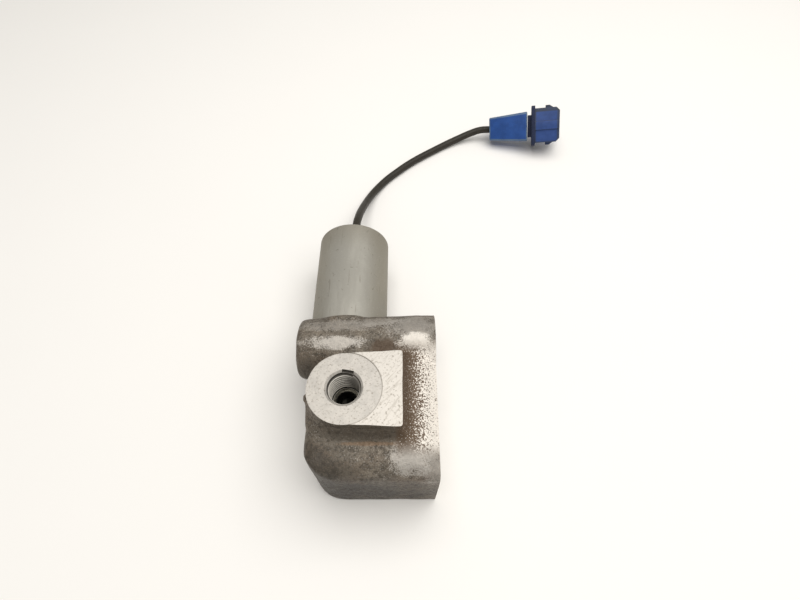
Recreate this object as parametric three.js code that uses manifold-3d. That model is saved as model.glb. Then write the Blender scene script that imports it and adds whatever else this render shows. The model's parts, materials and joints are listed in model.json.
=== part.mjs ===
// Solenoid directional valve: a cast block with one threaded port, a tubular solenoid on the valve's own
// axis, and a short lead with a two-way connector. Millimetres, +Z up.
// The origin is on the underside, below the point where the valve axis passes under the port axis.
// +Y runs along the valve axis towards the solenoid, and +X towards the mounting face.

import * as THREE from 'three';
import { mergeVertices } from 'three/addons/utils/BufferGeometryUtils.js';
import Module from 'manifold-3d';

const wasm = await Module();
wasm.setup();

// ---- Driving dimensions ---------------------------------------------------------------------------

const gap = 0.3;            // between fixed pieces that seat on each other
const slide = 0.1;          // radial clearance of a sliding piece
const stroke = 3;           // travel of plunger and spool
const cut = 1;              // how far a cutter runs past the face it opens

// Solenoid can
const canRadius = 16;
const canLength = 49.2;
const canWall = 1.4;
const canLip = 3.2;         // width of the lip rolled over the end cap
const canEdge = 0.8;        // rounding of the lip's outer edge
const underCan = 3;         // height of the can's lowest line above the underside

// Casting
const frontReach = 27.6;    // port axis to front face
const seatReach = 33.8;     // port axis to the solenoid's seat
const mountReach = 35.3;    // valve axis to mounting face
const sideReach = 11.2;     // valve axis to the plain side
const blockHeight = 36.5;
const blockBack = 30;       // port axis to the back of the plain block
const topRound = 7;         // rounding of the block's front top edge
const sideRound = 4.5;      // and of its plain side's top edge
const shoulderWidth = 9;    // the top falls away towards the mounting face over this width
const shoulderDrop = 3.2;   // and by this much
const cornerLength = 11;    // the plain side's rounded front corner, along Y
const cornerWidth = 12;     // and along X
const seatBossLength = 12;  // round boss around the can's seat
const seatLip = 1.4;        // wall around the can's seat
const seatRecess = 0.6;     // how deep the can's seat is sunk
const crossEnd = 18.2;      // valve axis to the round boss's free end
const crossRadius = 12;     // horizontal round boss behind the port, at its free end
const crossDraft = 1.7;     // how much its radius grows to the mounting face
const crossBack = 24.8;     // port axis to the boss's axis
const crossRise = 6;        // the boss's axis above the valve axis
const crossEdge = 1.8;      // rounding of the boss's free end

// Port pad
const portOffset = 2.5;     // port axis from valve axis, along X
const padRise = 8.5;
const padRadius = 12.9;
const padReach = 20;        // port axis to the pad's straight edge
const padNear = 13.4;       // port axis to the pad's front corner
const padFar = 14;          // and to its rear corner
const skirtReach = 4.2;     // slope around the pad's foot
const skirtRise = 4.5;
const notchWall = 3.4;      // left over the valve bore where the block is cut down behind the pad
const spotDepth = 0.25;
const spotOver = 0.3;       // the spot face runs this far past the pad's round end
const portMouth = 6.7;      // radius of the port's chamfer at the pad

// Port
const threadRadius = 6;     // major radius of the port's thread
const threadDepth = 13.8;
const tapRadius = 5.3;      // drilled radius inside the thread
const portRadius = 3.9;     // passage below the seat ring
const reliefLength = 1.2;   // thread relief
const seatRingHeight = 1.1;

// Valve bore and sleeve
const boreRadius = 7.2;
const boreFront = 14;       // port axis to the sleeve's end of the bore
const springBoreRadius = 4.9;
const springBoreFront = 23;
const spoolRadius = 4;
const waistRadius = 2.4;
const rearLand = 9.6;       // length of the land next to the solenoid
const landOverlap = 0.9;    // how far the front land covers the closed return window
const windowRadius = 1.4;
const windowPitch = 10.2;   // distance between neighbouring rows of windows
const grooveRadius = 6;     // floor of the sleeve's outer grooves
const ringSection = 0.85;   // section radius of the O-rings on sleeve and spigot
const ringSqueeze = 0.1;    // O-ring to the bore around it
const ringPitch = 6.2;      // O-ring from the middle windows

// Spigot, pole and plunger
const spigotRadius = 8.9;
const spigotLength = 5.8;
const flangeThickness = 3.4;
const poleRadius = 5.9;
const poleLength = 13.4;
const tubeWall = 0.6;
const residualGap = 0.8;    // left between plunger and pole when energised, shim included
const shimThickness = 0.4;
const plungerLength = 20;
const pinRadius = 1.5;
const pinSeat = 6;          // how deep the pin sits in the plunger

// Coil
const bobbinWall = 1;
const bobbinFlange = 1.6;
const bobbinLength = 36;
const windingClear = 0.8;   // from the winding to the can
const yokeThickness = 3;

// Cable and its grommet
const cableRadius = 2;
const grommetRadius = 4;
const grommetTail = 11;     // how far the grommet stands out of the end cap
const tailRadius = 3;       // radius of its free end

// Return spring
const springWire = 0.8;
const springCoilRadius = 3.1;
const springTurns = 4.5;
const springSeatThickness = 1;

// Mounting face
const supplyRadius = 6.2;
const supplyDepth = 20;
const supplyPassage = 3;
const returnRadius = 3.2;
const sealSection = 0.95;
const sealProud = 0.4;      // how far the face seals stand out before they are squeezed
const sealInset = 1.2;      // from a gallery's edge to its seal groove
const tapHoleRadius = 2.6;  // blind holes for M6 screws
const tapHoleDepth = 12;
const screwInset = 6.4;     // screw holes from the casting's outer faces
const rearScrew = 10;       // port axis to the rear screw

// Supply strainer
const strainerWall = 1;
const strainerRib = 1.8;
const gauzeWall = 0.3;

// Connector
const flangeWidth = 22.4;
const flangeDepth = 14.8;
const flangePlate = 2;
const hoodWidth = 19.2;
const hoodDepth = 12.5;
const hoodLength = 13.8;
const hoodWall = 1.3;
const hoodCorner = 1.9;     // cut corners at the mouth
const hoodFloor = 3;
const guideRibWidth = 4.8;
const guideRibHeight = 0.8;
const neckLength = 2.1;
const neckWidth = 12.4;
const neckDepth = 8.6;
const bootLength = 22.2;
const bootWide = 16.6;      // boot at the connector
const bootNarrow = 12.9;    // boot at the cable
const bootDepthWide = 12;
const bootDepthNarrow = 9.4;
const bootEdge = 1.6;
const noseLength = 4.4;
const noseHeight = 1.5;
const noseWidth = 5;
const bladeWidth = 2.8;
const bladeThickness = 0.8;
const bladeReach = 7.6;       // blades from the flange into the hood
const bladePitch = 5;

// Where the connector lies: middle of its flange's rear face, and its turn, tilt and roll
const plugPlace = new THREE.Vector3(100.3, 180.9, 12.6);
const plugTurn = -7.8;
const plugTilt = -11.3;
const plugRoll = 52.5;

// ---- Worked out from them -------------------------------------------------------------------------

const axisHeight = canRadius + underCan;
const seatRadius = canRadius + seatLip;
const padTop = blockHeight + padRise;
const crossHeight = axisHeight + crossRise;
const portFace = padTop - spotDepth;
const ledgeHeight = padTop - threadDepth;
const spigotBore = spigotRadius + gap;
const spigotFront = seatReach - spigotLength;
const solenoidFront = seatReach + gap;
const canInner = canRadius - canWall;
const discRadius = canInner - slide;
const poleBack = solenoidFront + flangeThickness;
const poleFace = poleBack + poleLength;
const tubeInner = poleRadius + 2 * slide;
const tubeOuter = tubeInner + tubeWall;
const plungerFront = poleFace + stroke + residualGap;
const plungerBack = plungerFront + plungerLength;
const bobbinFront = poleBack + gap;
const bobbinBack = bobbinFront + bobbinLength;
const tubeBack = plungerBack + gap + tubeWall;
const canBack = solenoidFront + canLength;
const capBack = canBack - canWall - gap;
const capFront = bobbinBack + yokeThickness + 2 * gap;
const sleeveRadius = boreRadius - gap;
const sleeveFront = -boreFront + gap;
const sleeveBack = spigotFront - gap;
const spoolBore = spoolRadius + slide;
const waistFront = -windowPitch + windowRadius + landOverlap;
const waistBack = windowPitch + windowRadius + slide;
const spoolFront = sleeveFront + gap;
const spoolBack = waistBack + rearLand;
const supplyFloor = mountReach - supplyDepth;
const hoodEnd = flangePlate + hoodLength;

const colours = {
  castAluminium: [0x8f887f, 0.75, 0.55],
  machinedAluminium: [0xd8d2c8, 0.35, 0.8],
  zincPlate: [0xa3a196, 0.4, 0.8],
  steel: [0xb9b9b6, 0.35, 0.9],
  brass: [0xb59a5a, 0.35, 0.9],
  copper: [0xb06a3c, 0.4, 0.9],
  blackPlastic: [0x2c2b2a, 0.6, 0],
  navyPlastic: [0x2b2f55, 0.55, 0],
  bluePlastic: [0x4c62a8, 0.5, 0],
  blueRubber: [0x3f63a8, 0.7, 0],
  blackRubber: [0x26241f, 0.8, 0],
};

// ---- Shapes ---------------------------------------------------------------------------------------

// A solid of revolution about Y from points [radius, y], whichever way round they are listed.
// It is closed when the outline doesn't start and end on the axis.
function turned(outline, sides = 24) {
  const points = outline.map(([radius, y]) => new THREE.Vector2(radius, y));
  if (THREE.ShapeUtils.area(points) < 0) points.reverse();
  const onAxis = points[0].x === 0 && points[points.length - 1].x === 0;
  if (!onAxis) points.push(points[0].clone());
  return new THREE.LatheGeometry(points, sides);
}

// The same, moved onto the valve axis.
function onValveAxis(outline, sides) {
  return turned(outline, sides).translate(0, 0, axisHeight);
}

function rod(radius, start, end, sides = 32) {
  const from = new THREE.Vector3(...start);
  const along = new THREE.Vector3(...end).sub(from);
  const turn = new THREE.Quaternion().setFromUnitVectors(new THREE.Vector3(0, 1, 0), along.clone().normalize());
  return new THREE.CylinderGeometry(radius, radius, along.length(), sides)
    .applyQuaternion(turn)
    .translate(...from.addScaledVector(along, 0.5));
}

// A ring of round section about Y.
function ring(radius, section, y, sides = 24, around = 6) {
  const centre = new THREE.Vector2(radius, y);
  const outline = [];
  for (let i = 0; i < around; i++) {
    const angle = (i / around) * Math.PI * 2;
    outline.push([centre.x + section * Math.cos(angle), centre.y + section * Math.sin(angle)]);
  }
  return turned(outline, sides);
}

function box(low, high) {
  const size = high.map((value, i) => value - low[i]);
  const middle = high.map((value, i) => (value + low[i]) / 2);
  return new THREE.BoxGeometry(...size).translate(...middle);
}

function extruded(shape, depth, curveSegments = 8) {
  return new THREE.ExtrudeGeometry(shape, { depth, bevelEnabled: false, curveSegments });
}

function roundedRectangle(width, height, radius) {
  const x = width / 2 - radius;
  const y = height / 2 - radius;
  return new THREE.Shape()
    .absarc(x, y, radius, 0, Math.PI / 2)
    .absarc(-x, y, radius, Math.PI / 2, Math.PI)
    .absarc(-x, -y, radius, Math.PI, Math.PI * 1.5)
    .absarc(x, -y, radius, Math.PI * 1.5, Math.PI * 2);
}

// Turn what was made about or along Z to run along X, its own X to Y.
function standAlongX(geometry) {
  const turn = new THREE.Matrix4().makeBasis(
    new THREE.Vector3(0, 1, 0), new THREE.Vector3(0, 0, 1), new THREE.Vector3(1, 0, 0));
  return geometry.applyMatrix4(turn);
}

function alongX(geometry) {
  return geometry.rotateZ(-Math.PI / 2);
}

function alongZ(geometry) {
  return geometry.rotateX(Math.PI / 2);
}

// ---- Joining and cutting --------------------------------------------------------------------------

function solid(geometry) {
  const bare = geometry.clone();
  bare.deleteAttribute('normal');
  bare.deleteAttribute('uv');
  const merged = mergeVertices(bare);
  return new wasm.Manifold(new wasm.Mesh({
    numProp: 3,
    vertProperties: merged.attributes.position.array,
    triVerts: new Uint32Array(merged.index.array),
  }));
}

function geometryOf(manifold) {
  const { vertProperties, triVerts } = manifold.getMesh();
  const shared = new THREE.BufferGeometry();
  shared.setAttribute('position', new THREE.BufferAttribute(vertProperties, 3));
  shared.setIndex(new THREE.BufferAttribute(triVerts, 1));
  const faceted = shared.toNonIndexed();
  faceted.computeVertexNormals();
  return faceted;
}

function joined(...geometries) {
  return geometries.map(solid).reduce((whole, piece) => whole.add(piece));
}

function without(whole, ...cutters) {
  return cutters.map(solid).reduce((rest, cutter) => rest.subtract(cutter), whole);
}

// ---- Casting --------------------------------------------------------------------------------------

// The block's outline from above, with the rounded front corner on its plain side.
function plan() {
  return new THREE.Shape()
    .moveTo(mountReach, -frontReach)
    .lineTo(mountReach, blockBack)
    .lineTo(-sideReach, blockBack)
    .lineTo(-sideReach, -frontReach + cornerLength)
    .absellipse(-sideReach + cornerWidth, -frontReach + cornerLength, cornerWidth, cornerLength,
      Math.PI, Math.PI * 1.5);
}

function prism(shape, from, to) {
  return solid(extruded(shape, to - from).translate(0, 0, from));
}

// The plain block: what its side profile, its front profile and its plan have in common.
function block() {
  const sideProfile = new THREE.Shape()
    .moveTo(-frontReach, 0)
    .lineTo(blockBack, 0)
    .lineTo(blockBack, blockHeight)
    .lineTo(-frontReach + topRound, blockHeight)
    .absarc(-frontReach + topRound, blockHeight - topRound, topRound, Math.PI / 2, Math.PI);
  const frontProfile = new THREE.Shape()
    .moveTo(-sideReach, 0)
    .lineTo(mountReach, 0)
    .lineTo(mountReach, blockHeight - shoulderDrop)
    .lineTo(mountReach - shoulderWidth * 0.45, blockHeight - shoulderDrop * 0.25)
    .lineTo(mountReach - shoulderWidth, blockHeight)
    .lineTo(-sideReach + sideRound, blockHeight)
    .absarc(-sideReach + sideRound, blockHeight - sideRound, sideRound, Math.PI / 2, Math.PI);
  const alongWidth = standAlongX(extruded(sideProfile, sideReach + mountReach)).translate(-sideReach, 0, 0);
  const alongLength = extruded(frontProfile, frontReach + blockBack).rotateX(Math.PI / 2).translate(0, blockBack, 0);
  return solid(alongWidth).intersect(solid(alongLength)).intersect(prism(plan(), 0, blockHeight + cut));
}

// Where the block is cut down between the pad and the round boss, on the plain side.
function notch() {
  const floor = axisHeight + boreRadius + notchWall;
  const whole = box([-sideReach - cut, 0, floor], [portOffset, crossBack, blockHeight + cut]);
  return solid(whole).subtract(solid(rod(padRadius, [portOffset, 0, 0], [portOffset, 0, padTop], 48)));
}

// The round boss across the back, wider towards the mounting face.
function crossBoss() {
  const outline = [
    [0, -crossEnd],
    [crossRadius - crossEdge, -crossEnd],
    [crossRadius - crossEdge * 0.3, -crossEnd + crossEdge * 0.3],
    [crossRadius, -crossEnd + crossEdge],
    [crossRadius + crossDraft, mountReach],
    [0, mountReach],
  ];
  return alongX(turned(outline, 40)).translate(0, crossBack, crossHeight);
}

function seatBoss() {
  const back = seatReach + seatRecess;
  const front = back - seatBossLength;
  return onValveAxis([[0, front], [seatRadius, front], [seatRadius, back], [0, back]], 48);
}

// The pad from above: round about the port axis, and straight towards the mounting face.
function padShape() {
  return new THREE.Shape()
    .moveTo(padReach, -padNear)
    .lineTo(padReach, padFar)
    .lineTo(0, padRadius)
    .absarc(0, 0, padRadius, Math.PI / 2, Math.PI * 1.5);
}

function pad() {
  const foot = axisHeight + boreRadius;
  return solid(extruded(padShape(), padTop - foot, 20).translate(portOffset, 0, foot));
}

// The slope around the pad's foot, trimmed to the block's outline.
function padSkirt() {
  const slope = new THREE.ExtrudeGeometry(padShape(), {
    depth: skirtRise, bevelThickness: skirtRise, bevelSize: skirtReach, bevelSegments: 1, curveSegments: 20,
  }).translate(portOffset, 0, blockHeight - skirtRise);
  return solid(slope).intersect(prism(plan(), axisHeight, padTop));
}

function portCutter() {
  const relief = ledgeHeight + reliefLength;
  return alongZ(turned([
    [0, axisHeight], [portRadius, axisHeight], [portRadius, ledgeHeight],
    [threadRadius, ledgeHeight], [threadRadius, relief], [tapRadius, relief],
    [tapRadius, portFace - (portMouth - tapRadius)], [portMouth, portFace],
    [portMouth, padTop + cut], [0, padTop + cut],
  ], 36)).translate(portOffset, 0, 0);
}

function boreCutter() {
  const back = crossBack + crossRadius + crossDraft + cut;
  return onValveAxis([
    [0, -springBoreFront], [springBoreRadius, -springBoreFront], [springBoreRadius, -boreFront],
    [boreRadius, -boreFront], [boreRadius, spigotFront], [spigotBore, spigotFront],
    [spigotBore, seatReach], [canRadius + gap, seatReach], [canRadius + gap, back], [0, back],
  ], 48);
}

function supplyCutter() {
  return alongX(turned([
    [0, 0], [supplyPassage, 0], [supplyPassage, supplyFloor], [supplyRadius, supplyFloor],
    [supplyRadius, mountReach + cut], [0, mountReach + cut],
  ])).translate(0, crossBack, crossHeight);
}

// A seal's groove around a gallery, and the seal in it, both cut from the same radii.
const sealDepth = 2 * sealSection - sealProud;
const supplySealRadius = supplyRadius + sealInset + sealSection;
const returnSealRadius = returnRadius + sealInset + sealSection;

function sealGroove(radius, y, z) {
  const inner = radius - sealSection - gap;
  const outer = radius + sealSection + gap;
  const floor = mountReach - sealDepth - slide;
  const past = mountReach + cut;
  return alongX(turned([[inner, floor], [outer, floor], [outer, past], [inner, past]])).translate(0, y, z);
}

function faceSeal(radius, y, z) {
  return alongX(ring(radius, sealSection, mountReach + sealProud - sealSection)).translate(0, y, z);
}

function screwHole(y, z) {
  return rod(tapHoleRadius, [mountReach - tapHoleDepth, y, z], [mountReach + cut, y, z], 20);
}

function bodyCasting() {
  const spot = rod(padRadius + spotOver, [portOffset, 0, portFace], [portOffset, 0, padTop + cut], 48);
  const gallery = rod(returnRadius, [0, -windowPitch, axisHeight], [mountReach + cut, -windowPitch, axisHeight]);
  const raw = block().add(padSkirt()).subtract(notch()).add(pad()).add(joined(crossBoss(), seatBoss()));
  return without(raw, boreCutter(), portCutter(), spot, supplyCutter(), gallery,
    sealGroove(supplySealRadius, crossBack, crossHeight),
    sealGroove(returnSealRadius, -windowPitch, axisHeight),
    screwHole(-frontReach + screwInset, blockHeight - screwInset),
    screwHole(-frontReach + screwInset, screwInset),
    screwHole(rearScrew, screwInset));
}

function portSeatRing() {
  const low = ledgeHeight + slide;
  const high = low + seatRingHeight;
  const outer = tapRadius - slide;
  const inner = portRadius + slide;
  const middle = (outer + inner) / 2;
  return alongZ(turned([
    [inner, low], [outer, low], [outer, high - seatRingHeight / 3], [middle, high], [inner, high - seatRingHeight / 3],
  ])).translate(portOffset, 0, 0);
}

// ---- Valve ----------------------------------------------------------------------------------------

// The rectangle that an O-ring's groove cuts into a turned piece, as points of its outline.
function grooveOutline(y, outer, floor) {
  const half = ringSection + slide;
  return [[outer, y - half], [floor, y - half], [floor, y + half], [outer, y + half]];
}

const sleeveRingFloor = boreRadius - ringSqueeze - 2 * ringSection - slide;
const sleeveRingRadius = boreRadius - ringSqueeze - ringSection;
const spigotRingFloor = spigotBore - ringSqueeze - 2 * ringSection - slide;
const spigotRingRadius = spigotBore - ringSqueeze - ringSection;

function valveSleeve() {
  const shoulder = ringPitch - ringSection - slide - 0.8;
  const supplyStart = windowPitch - windowRadius;
  const body = onValveAxis([
    [spoolBore, sleeveFront], [sleeveRadius, sleeveFront],
    [sleeveRadius, -windowPitch - windowRadius], [grooveRadius, -windowPitch - windowRadius],
    [grooveRadius, -windowPitch + windowRadius], [sleeveRadius, -windowPitch + windowRadius],
    ...grooveOutline(-ringPitch, sleeveRadius, sleeveRingFloor),
    [sleeveRadius, -shoulder], [grooveRadius, -shoulder], [grooveRadius, shoulder], [sleeveRadius, shoulder],
    ...grooveOutline(ringPitch, sleeveRadius, sleeveRingFloor),
    [sleeveRadius, supplyStart], [grooveRadius, supplyStart],
    [grooveRadius, sleeveBack - gap], [sleeveRadius, sleeveBack - gap],
    [sleeveRadius, sleeveBack], [spoolBore, sleeveBack],
  ]);
  const windows = [-windowPitch, 0, windowPitch].flatMap((y) => [
    rod(windowRadius, [-boreRadius, y, axisHeight], [boreRadius, y, axisHeight], 12),
    rod(windowRadius, [0, y, axisHeight - boreRadius], [0, y, axisHeight + boreRadius], 12),
  ]);
  return without(solid(body), ...windows);
}

function spool() {
  return onValveAxis([
    [0, spoolFront], [spoolRadius, spoolFront], [spoolRadius, waistFront], [waistRadius, waistFront],
    [waistRadius, waistBack], [spoolRadius, waistBack], [spoolRadius, spoolBack], [0, spoolBack],
  ]);
}

const springSeatBack = -springBoreFront + gap + springSeatThickness;

function springSeat() {
  const front = springSeatBack - springSeatThickness;
  return onValveAxis([
    [springWire, front], [springBoreRadius - slide, front],
    [springBoreRadius - slide, springSeatBack], [springWire, springSeatBack],
  ], 24);
}

// The return spring at rest, between its seat and the spool.
class SpringLine extends THREE.Curve {
  getPoint(t, target = new THREE.Vector3()) {
    const reach = springWire / 2 + slide;
    const first = springSeatBack + reach;
    const last = spoolFront - reach;
    const angle = t * springTurns * Math.PI * 2;
    return target.set(
      springCoilRadius * Math.cos(angle),
      first + t * (last - first),
      axisHeight + springCoilRadius * Math.sin(angle));
  }
}

function returnSpring() {
  const wire = new THREE.Shape().absarc(0, 0, springWire / 2, 0, Math.PI * 2);
  const steps = Math.round(springTurns * 12);
  return new THREE.ExtrudeGeometry(wire, { extrudePath: new SpringLine(), steps, curveSegments: 3 });
}

// ---- Solenoid -------------------------------------------------------------------------------------

function solenoidCan() {
  const lipInner = canRadius - canLip;
  const lipFront = canBack - canWall;
  return onValveAxis([
    [canInner, solenoidFront], [canRadius, solenoidFront], [canRadius, canBack - canEdge],
    [canRadius - canEdge * 0.3, canBack - canEdge * 0.3], [canRadius - canEdge, canBack],
    [lipInner, canBack], [lipInner, lipFront], [canInner, lipFront],
  ], 48);
}

function polePiece() {
  const hole = pinRadius + 2 * slide;
  const spigotTip = spigotFront + gap;
  const grooveMiddle = (spigotTip + seatReach) / 2;
  return onValveAxis([
    [hole, spigotTip], [spigotRadius, spigotTip],
    ...grooveOutline(grooveMiddle, spigotRadius, spigotRingFloor),
    [spigotRadius, solenoidFront], [discRadius, solenoidFront], [discRadius, poleBack],
    [poleRadius, poleBack], [poleRadius, poleFace], [hole, poleFace],
  ]);
}

function spigotRing() {
  return ring(spigotRingRadius, ringSection, (spigotFront + gap + seatReach) / 2).translate(0, 0, axisHeight);
}

function guideTube() {
  return onValveAxis([
    [tubeInner, bobbinFront], [tubeOuter, bobbinFront], [tubeOuter, tubeBack], [0, tubeBack],
    [0, tubeBack - tubeWall], [tubeInner, tubeBack - tubeWall], [tubeInner, bobbinFront],
  ]);
}

function plunger() {
  const hole = pinRadius + slide;
  const holeEnd = plungerFront + pinSeat + gap;
  return onValveAxis([
    [hole, plungerFront], [tubeInner - slide, plungerFront], [tubeInner - slide, plungerBack],
    [0, plungerBack], [0, holeEnd], [hole, holeEnd], [hole, plungerFront],
  ]);
}

function plungerShim() {
  const back = plungerFront - slide;
  return onValveAxis([
    [pinRadius + slide, back - shimThickness], [poleRadius - gap, back - shimThickness],
    [poleRadius - gap, back], [pinRadius + slide, back],
  ], 24);
}

function pushPin() {
  return onValveAxis([
    [0, spoolBack + slide], [pinRadius, spoolBack + slide],
    [pinRadius, plungerFront + pinSeat], [0, plungerFront + pinSeat],
  ], 20);
}

function coilBobbin() {
  const bore = tubeOuter + slide;
  const hub = bore + bobbinWall;
  const edge = canInner - windingClear / 2;
  return onValveAxis([
    [bore, bobbinFront], [edge, bobbinFront], [edge, bobbinFront + bobbinFlange],
    [hub, bobbinFront + bobbinFlange], [hub, bobbinBack - bobbinFlange],
    [edge, bobbinBack - bobbinFlange], [edge, bobbinBack], [bore, bobbinBack],
  ]);
}

function coilWinding() {
  const inner = tubeOuter + slide + bobbinWall + slide;
  const outer = canInner - windingClear;
  const front = bobbinFront + bobbinFlange + slide;
  const back = bobbinBack - bobbinFlange - slide;
  return onValveAxis([[inner, front], [outer, front], [outer, back], [inner, back]]);
}

function rearYoke() {
  const front = bobbinBack + gap;
  const back = front + yokeThickness;
  const bore = tubeOuter + slide;
  return onValveAxis([[bore, front], [discRadius, front], [discRadius, back], [bore, back]]);
}

function endCap() {
  const bore = grommetRadius + slide;
  return onValveAxis([
    [bore, capFront], [discRadius, capFront], [discRadius, capBack], [bore, capBack],
  ], 40);
}

function cableGrommet() {
  const collar = grommetRadius + 1.4;
  const start = capFront;
  const rest = capBack + slide;
  const ribs = 4;
  const tailStart = rest + 2;
  const tailEnd = rest + grommetTail;
  const step = (tailEnd - tailStart) / ribs;
  const outline = [[0, start], [grommetRadius, start], [grommetRadius, rest], [collar, rest], [collar, tailStart]];
  for (let i = 0; i < ribs; i++) {
    const y = tailStart + i * step;
    const radius = THREE.MathUtils.lerp(grommetRadius, tailRadius, (i + 1) / ribs);
    outline.push([radius - 0.3, y], [radius - 0.3, y + step * 0.4], [radius, y + step * 0.4], [radius, y + step]);
  }
  outline.push([0, tailEnd]);
  return onValveAxis(outline, 24);
}

// ---- Supply strainer ------------------------------------------------------------------------------

const strainerRadius = supplyRadius - gap;
const strainerFront = supplyFloor + gap;
const strainerBack = mountReach - gap;

function strainerFrame() {
  const inner = strainerRadius - strainerWall;
  const tube = alongX(turned([
    [inner, strainerFront], [strainerRadius, strainerFront], [strainerRadius, strainerBack], [inner, strainerBack],
  ], 24));
  const low = strainerFront + strainerRib;
  const high = strainerBack - strainerRib;
  const half = strainerRadius - strainerRib - strainerWall;
  const reach = strainerRadius + cut;
  const windows = [
    box([low, -half, -reach], [high, half, reach]),
    box([low, -reach, -half], [high, reach, half]),
  ];
  return geometryOf(without(solid(tube), ...windows)).translate(0, crossBack, crossHeight);
}

function strainerGauze() {
  const outer = strainerRadius - strainerWall - slide;
  const inner = outer - gauzeWall;
  const front = strainerFront + slide;
  const back = strainerBack - slide;
  return alongX(turned([
    [0, front], [outer, front], [outer, back], [inner, back], [inner, front + gauzeWall], [0, front + gauzeWall],
  ], 24)).translate(0, crossBack, crossHeight);
}

// ---- Cable and connector --------------------------------------------------------------------------

// The plug's own frame: X along it towards the mouth from the flange's rear face, Y across its width.
const plug = new THREE.Group();
plug.position.copy(plugPlace);
plug.rotation.set(...[plugRoll, plugTilt, plugTurn].map(THREE.MathUtils.degToRad), 'ZYX');
plug.updateMatrix();

const bootRear = -neckLength - gap - bootLength;
const cableStart = capBack + slide + grommetTail + gap;
const cableEnd = new THREE.Vector3(bootRear - gap, 0, 0).applyMatrix4(plug.matrix);
const cableLeadIn = new THREE.Vector3(bootRear - 6, 0, 0).applyMatrix4(plug.matrix);

// The lead's route: straight out of the grommet, down to the surface, round to the plug and up into it.
const cableRoute = [
  [0, cableStart, axisHeight],
  [0.1, 98, 18.4],
  [0.5, 103, 17],
  [1.1, 109, 14.5],
  [2, 115.4, 11.4],
  [3, 121.5, 8.4],
  [4.6, 128.2, 5.6],
  [7, 135.2, 3.4],
  [10.2, 141.2, 2.3],
  [13.7, 146.2, 2.05],
  [20.5, 153.6, 2.05],
  [27.8, 160.7, 2.05],
  [35, 166.6, 2.05],
  [42.4, 172.1, 2.05],
  [50.1, 177.4, 2.3],
  [57.6, 181.4, 3.3],
  [64.8, 183.9, 5.1],
  cableLeadIn.toArray(),
  cableEnd.toArray(),
].map((point) => new THREE.Vector3(...point));

function cable() {
  const section = new THREE.Shape().absarc(0, 0, cableRadius, 0, Math.PI * 2);
  const path = new THREE.CatmullRomCurve3(cableRoute, false, 'centripetal');
  return new THREE.ExtrudeGeometry(section, { extrudePath: path, steps: 30, curveSegments: 5 });
}

// A block of rounded section along X that widens evenly from its rear end to its front end.
function cableBoot() {
  const unit = standAlongX(extruded(roundedRectangle(bootWide, bootDepthWide, bootEdge), bootLength, 3));
  const position = unit.attributes.position;
  for (let i = 0; i < position.count; i++) {
    const share = position.getX(i) / bootLength;
    const wide = THREE.MathUtils.lerp(bootNarrow / bootWide, 1, share);
    const deep = THREE.MathUtils.lerp(bootDepthNarrow / bootDepthWide, 1, share);
    position.setXYZ(i, position.getX(i) + bootRear, position.getY(i) * wide, position.getZ(i) * deep);
  }
  return unit;
}

function contactCarrier() {
  const carrier = box([-neckLength, -neckWidth / 2, -neckDepth / 2], [hoodFloor, neckWidth / 2, neckDepth / 2]);
  const slots = [-1, 1].map((side) => bladeBox(side, slide, -neckLength / 2 - slide, hoodFloor + cut));
  return geometryOf(without(solid(carrier), ...slots));
}

function bladeBox(side, clearance, from, to) {
  const y = (side * bladePitch) / 2;
  const halfThickness = bladeThickness / 2 + clearance;
  const halfWidth = bladeWidth / 2 + clearance;
  return box([from, y - halfThickness, -halfWidth], [to, y + halfThickness, halfWidth]);
}

// One contact blade with a chamfered tip.
function terminal(side) {
  const start = -neckLength / 2;
  const end = hoodFloor + bladeReach;
  const half = bladeWidth / 2;
  const tip = new THREE.Shape()
    .moveTo(start, -half)
    .lineTo(end - 1, -half)
    .lineTo(end, -half / 2)
    .lineTo(end, half / 2)
    .lineTo(end - 1, half)
    .lineTo(start, half);
  return extruded(tip, bladeThickness)
    .rotateX(Math.PI / 2)
    .translate(0, (side * bladePitch) / 2 + bladeThickness / 2, 0);
}

function hoodOutline(width, from, to, corner) {
  return new THREE.Shape()
    .moveTo(from, -width / 2)
    .lineTo(to - corner, -width / 2)
    .lineTo(to, -width / 2 + corner)
    .lineTo(to, width / 2 - corner)
    .lineTo(to - corner, width / 2)
    .lineTo(from, width / 2);
}

function latchNose(side) {
  const middle = flangePlate + hoodLength * 0.6;
  const foot = (side * hoodWidth) / 2;
  const shape = new THREE.Shape()
    .moveTo(middle - noseLength / 2, foot - side * hoodWall / 2)
    .lineTo(middle - noseLength / 2, foot + side * noseHeight)
    .lineTo(middle, foot + side * noseHeight)
    .lineTo(middle + noseLength / 2, foot)
    .lineTo(middle + noseLength / 2, foot - side * hoodWall / 2);
  return extruded(shape, noseWidth).translate(0, 0, -noseWidth / 2);
}

function connectorHousing() {
  const flange = standAlongX(extruded(roundedRectangle(flangeWidth, flangeDepth, 1.5), flangePlate, 3));
  const hood = extruded(hoodOutline(hoodWidth, flangePlate / 2, hoodEnd, hoodCorner), hoodDepth)
    .translate(0, 0, -hoodDepth / 2);
  const rib = box(
    [flangePlate / 2, -guideRibWidth / 2, hoodDepth / 2 - hoodWall / 2],
    [hoodEnd - 0.5, guideRibWidth / 2, hoodDepth / 2 + guideRibHeight]);
  const shell = joined(flange, hood, rib, latchNose(-1), latchNose(1));
  const hollowWidth = hoodWidth - 2 * hoodWall;
  const hollowDepth = hoodDepth - 2 * hoodWall;
  const hollow = box(
    [hoodFloor, -hollowWidth / 2, -hollowDepth / 2], [hoodEnd + cut, hollowWidth / 2, hollowDepth / 2]);
  const opening = box(
    [-cut, -neckWidth / 2 - gap, -neckDepth / 2 - gap],
    [hoodFloor + cut, neckWidth / 2 + gap, neckDepth / 2 + gap]);
  return geometryOf(without(shell, hollow, opening));
}

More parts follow.
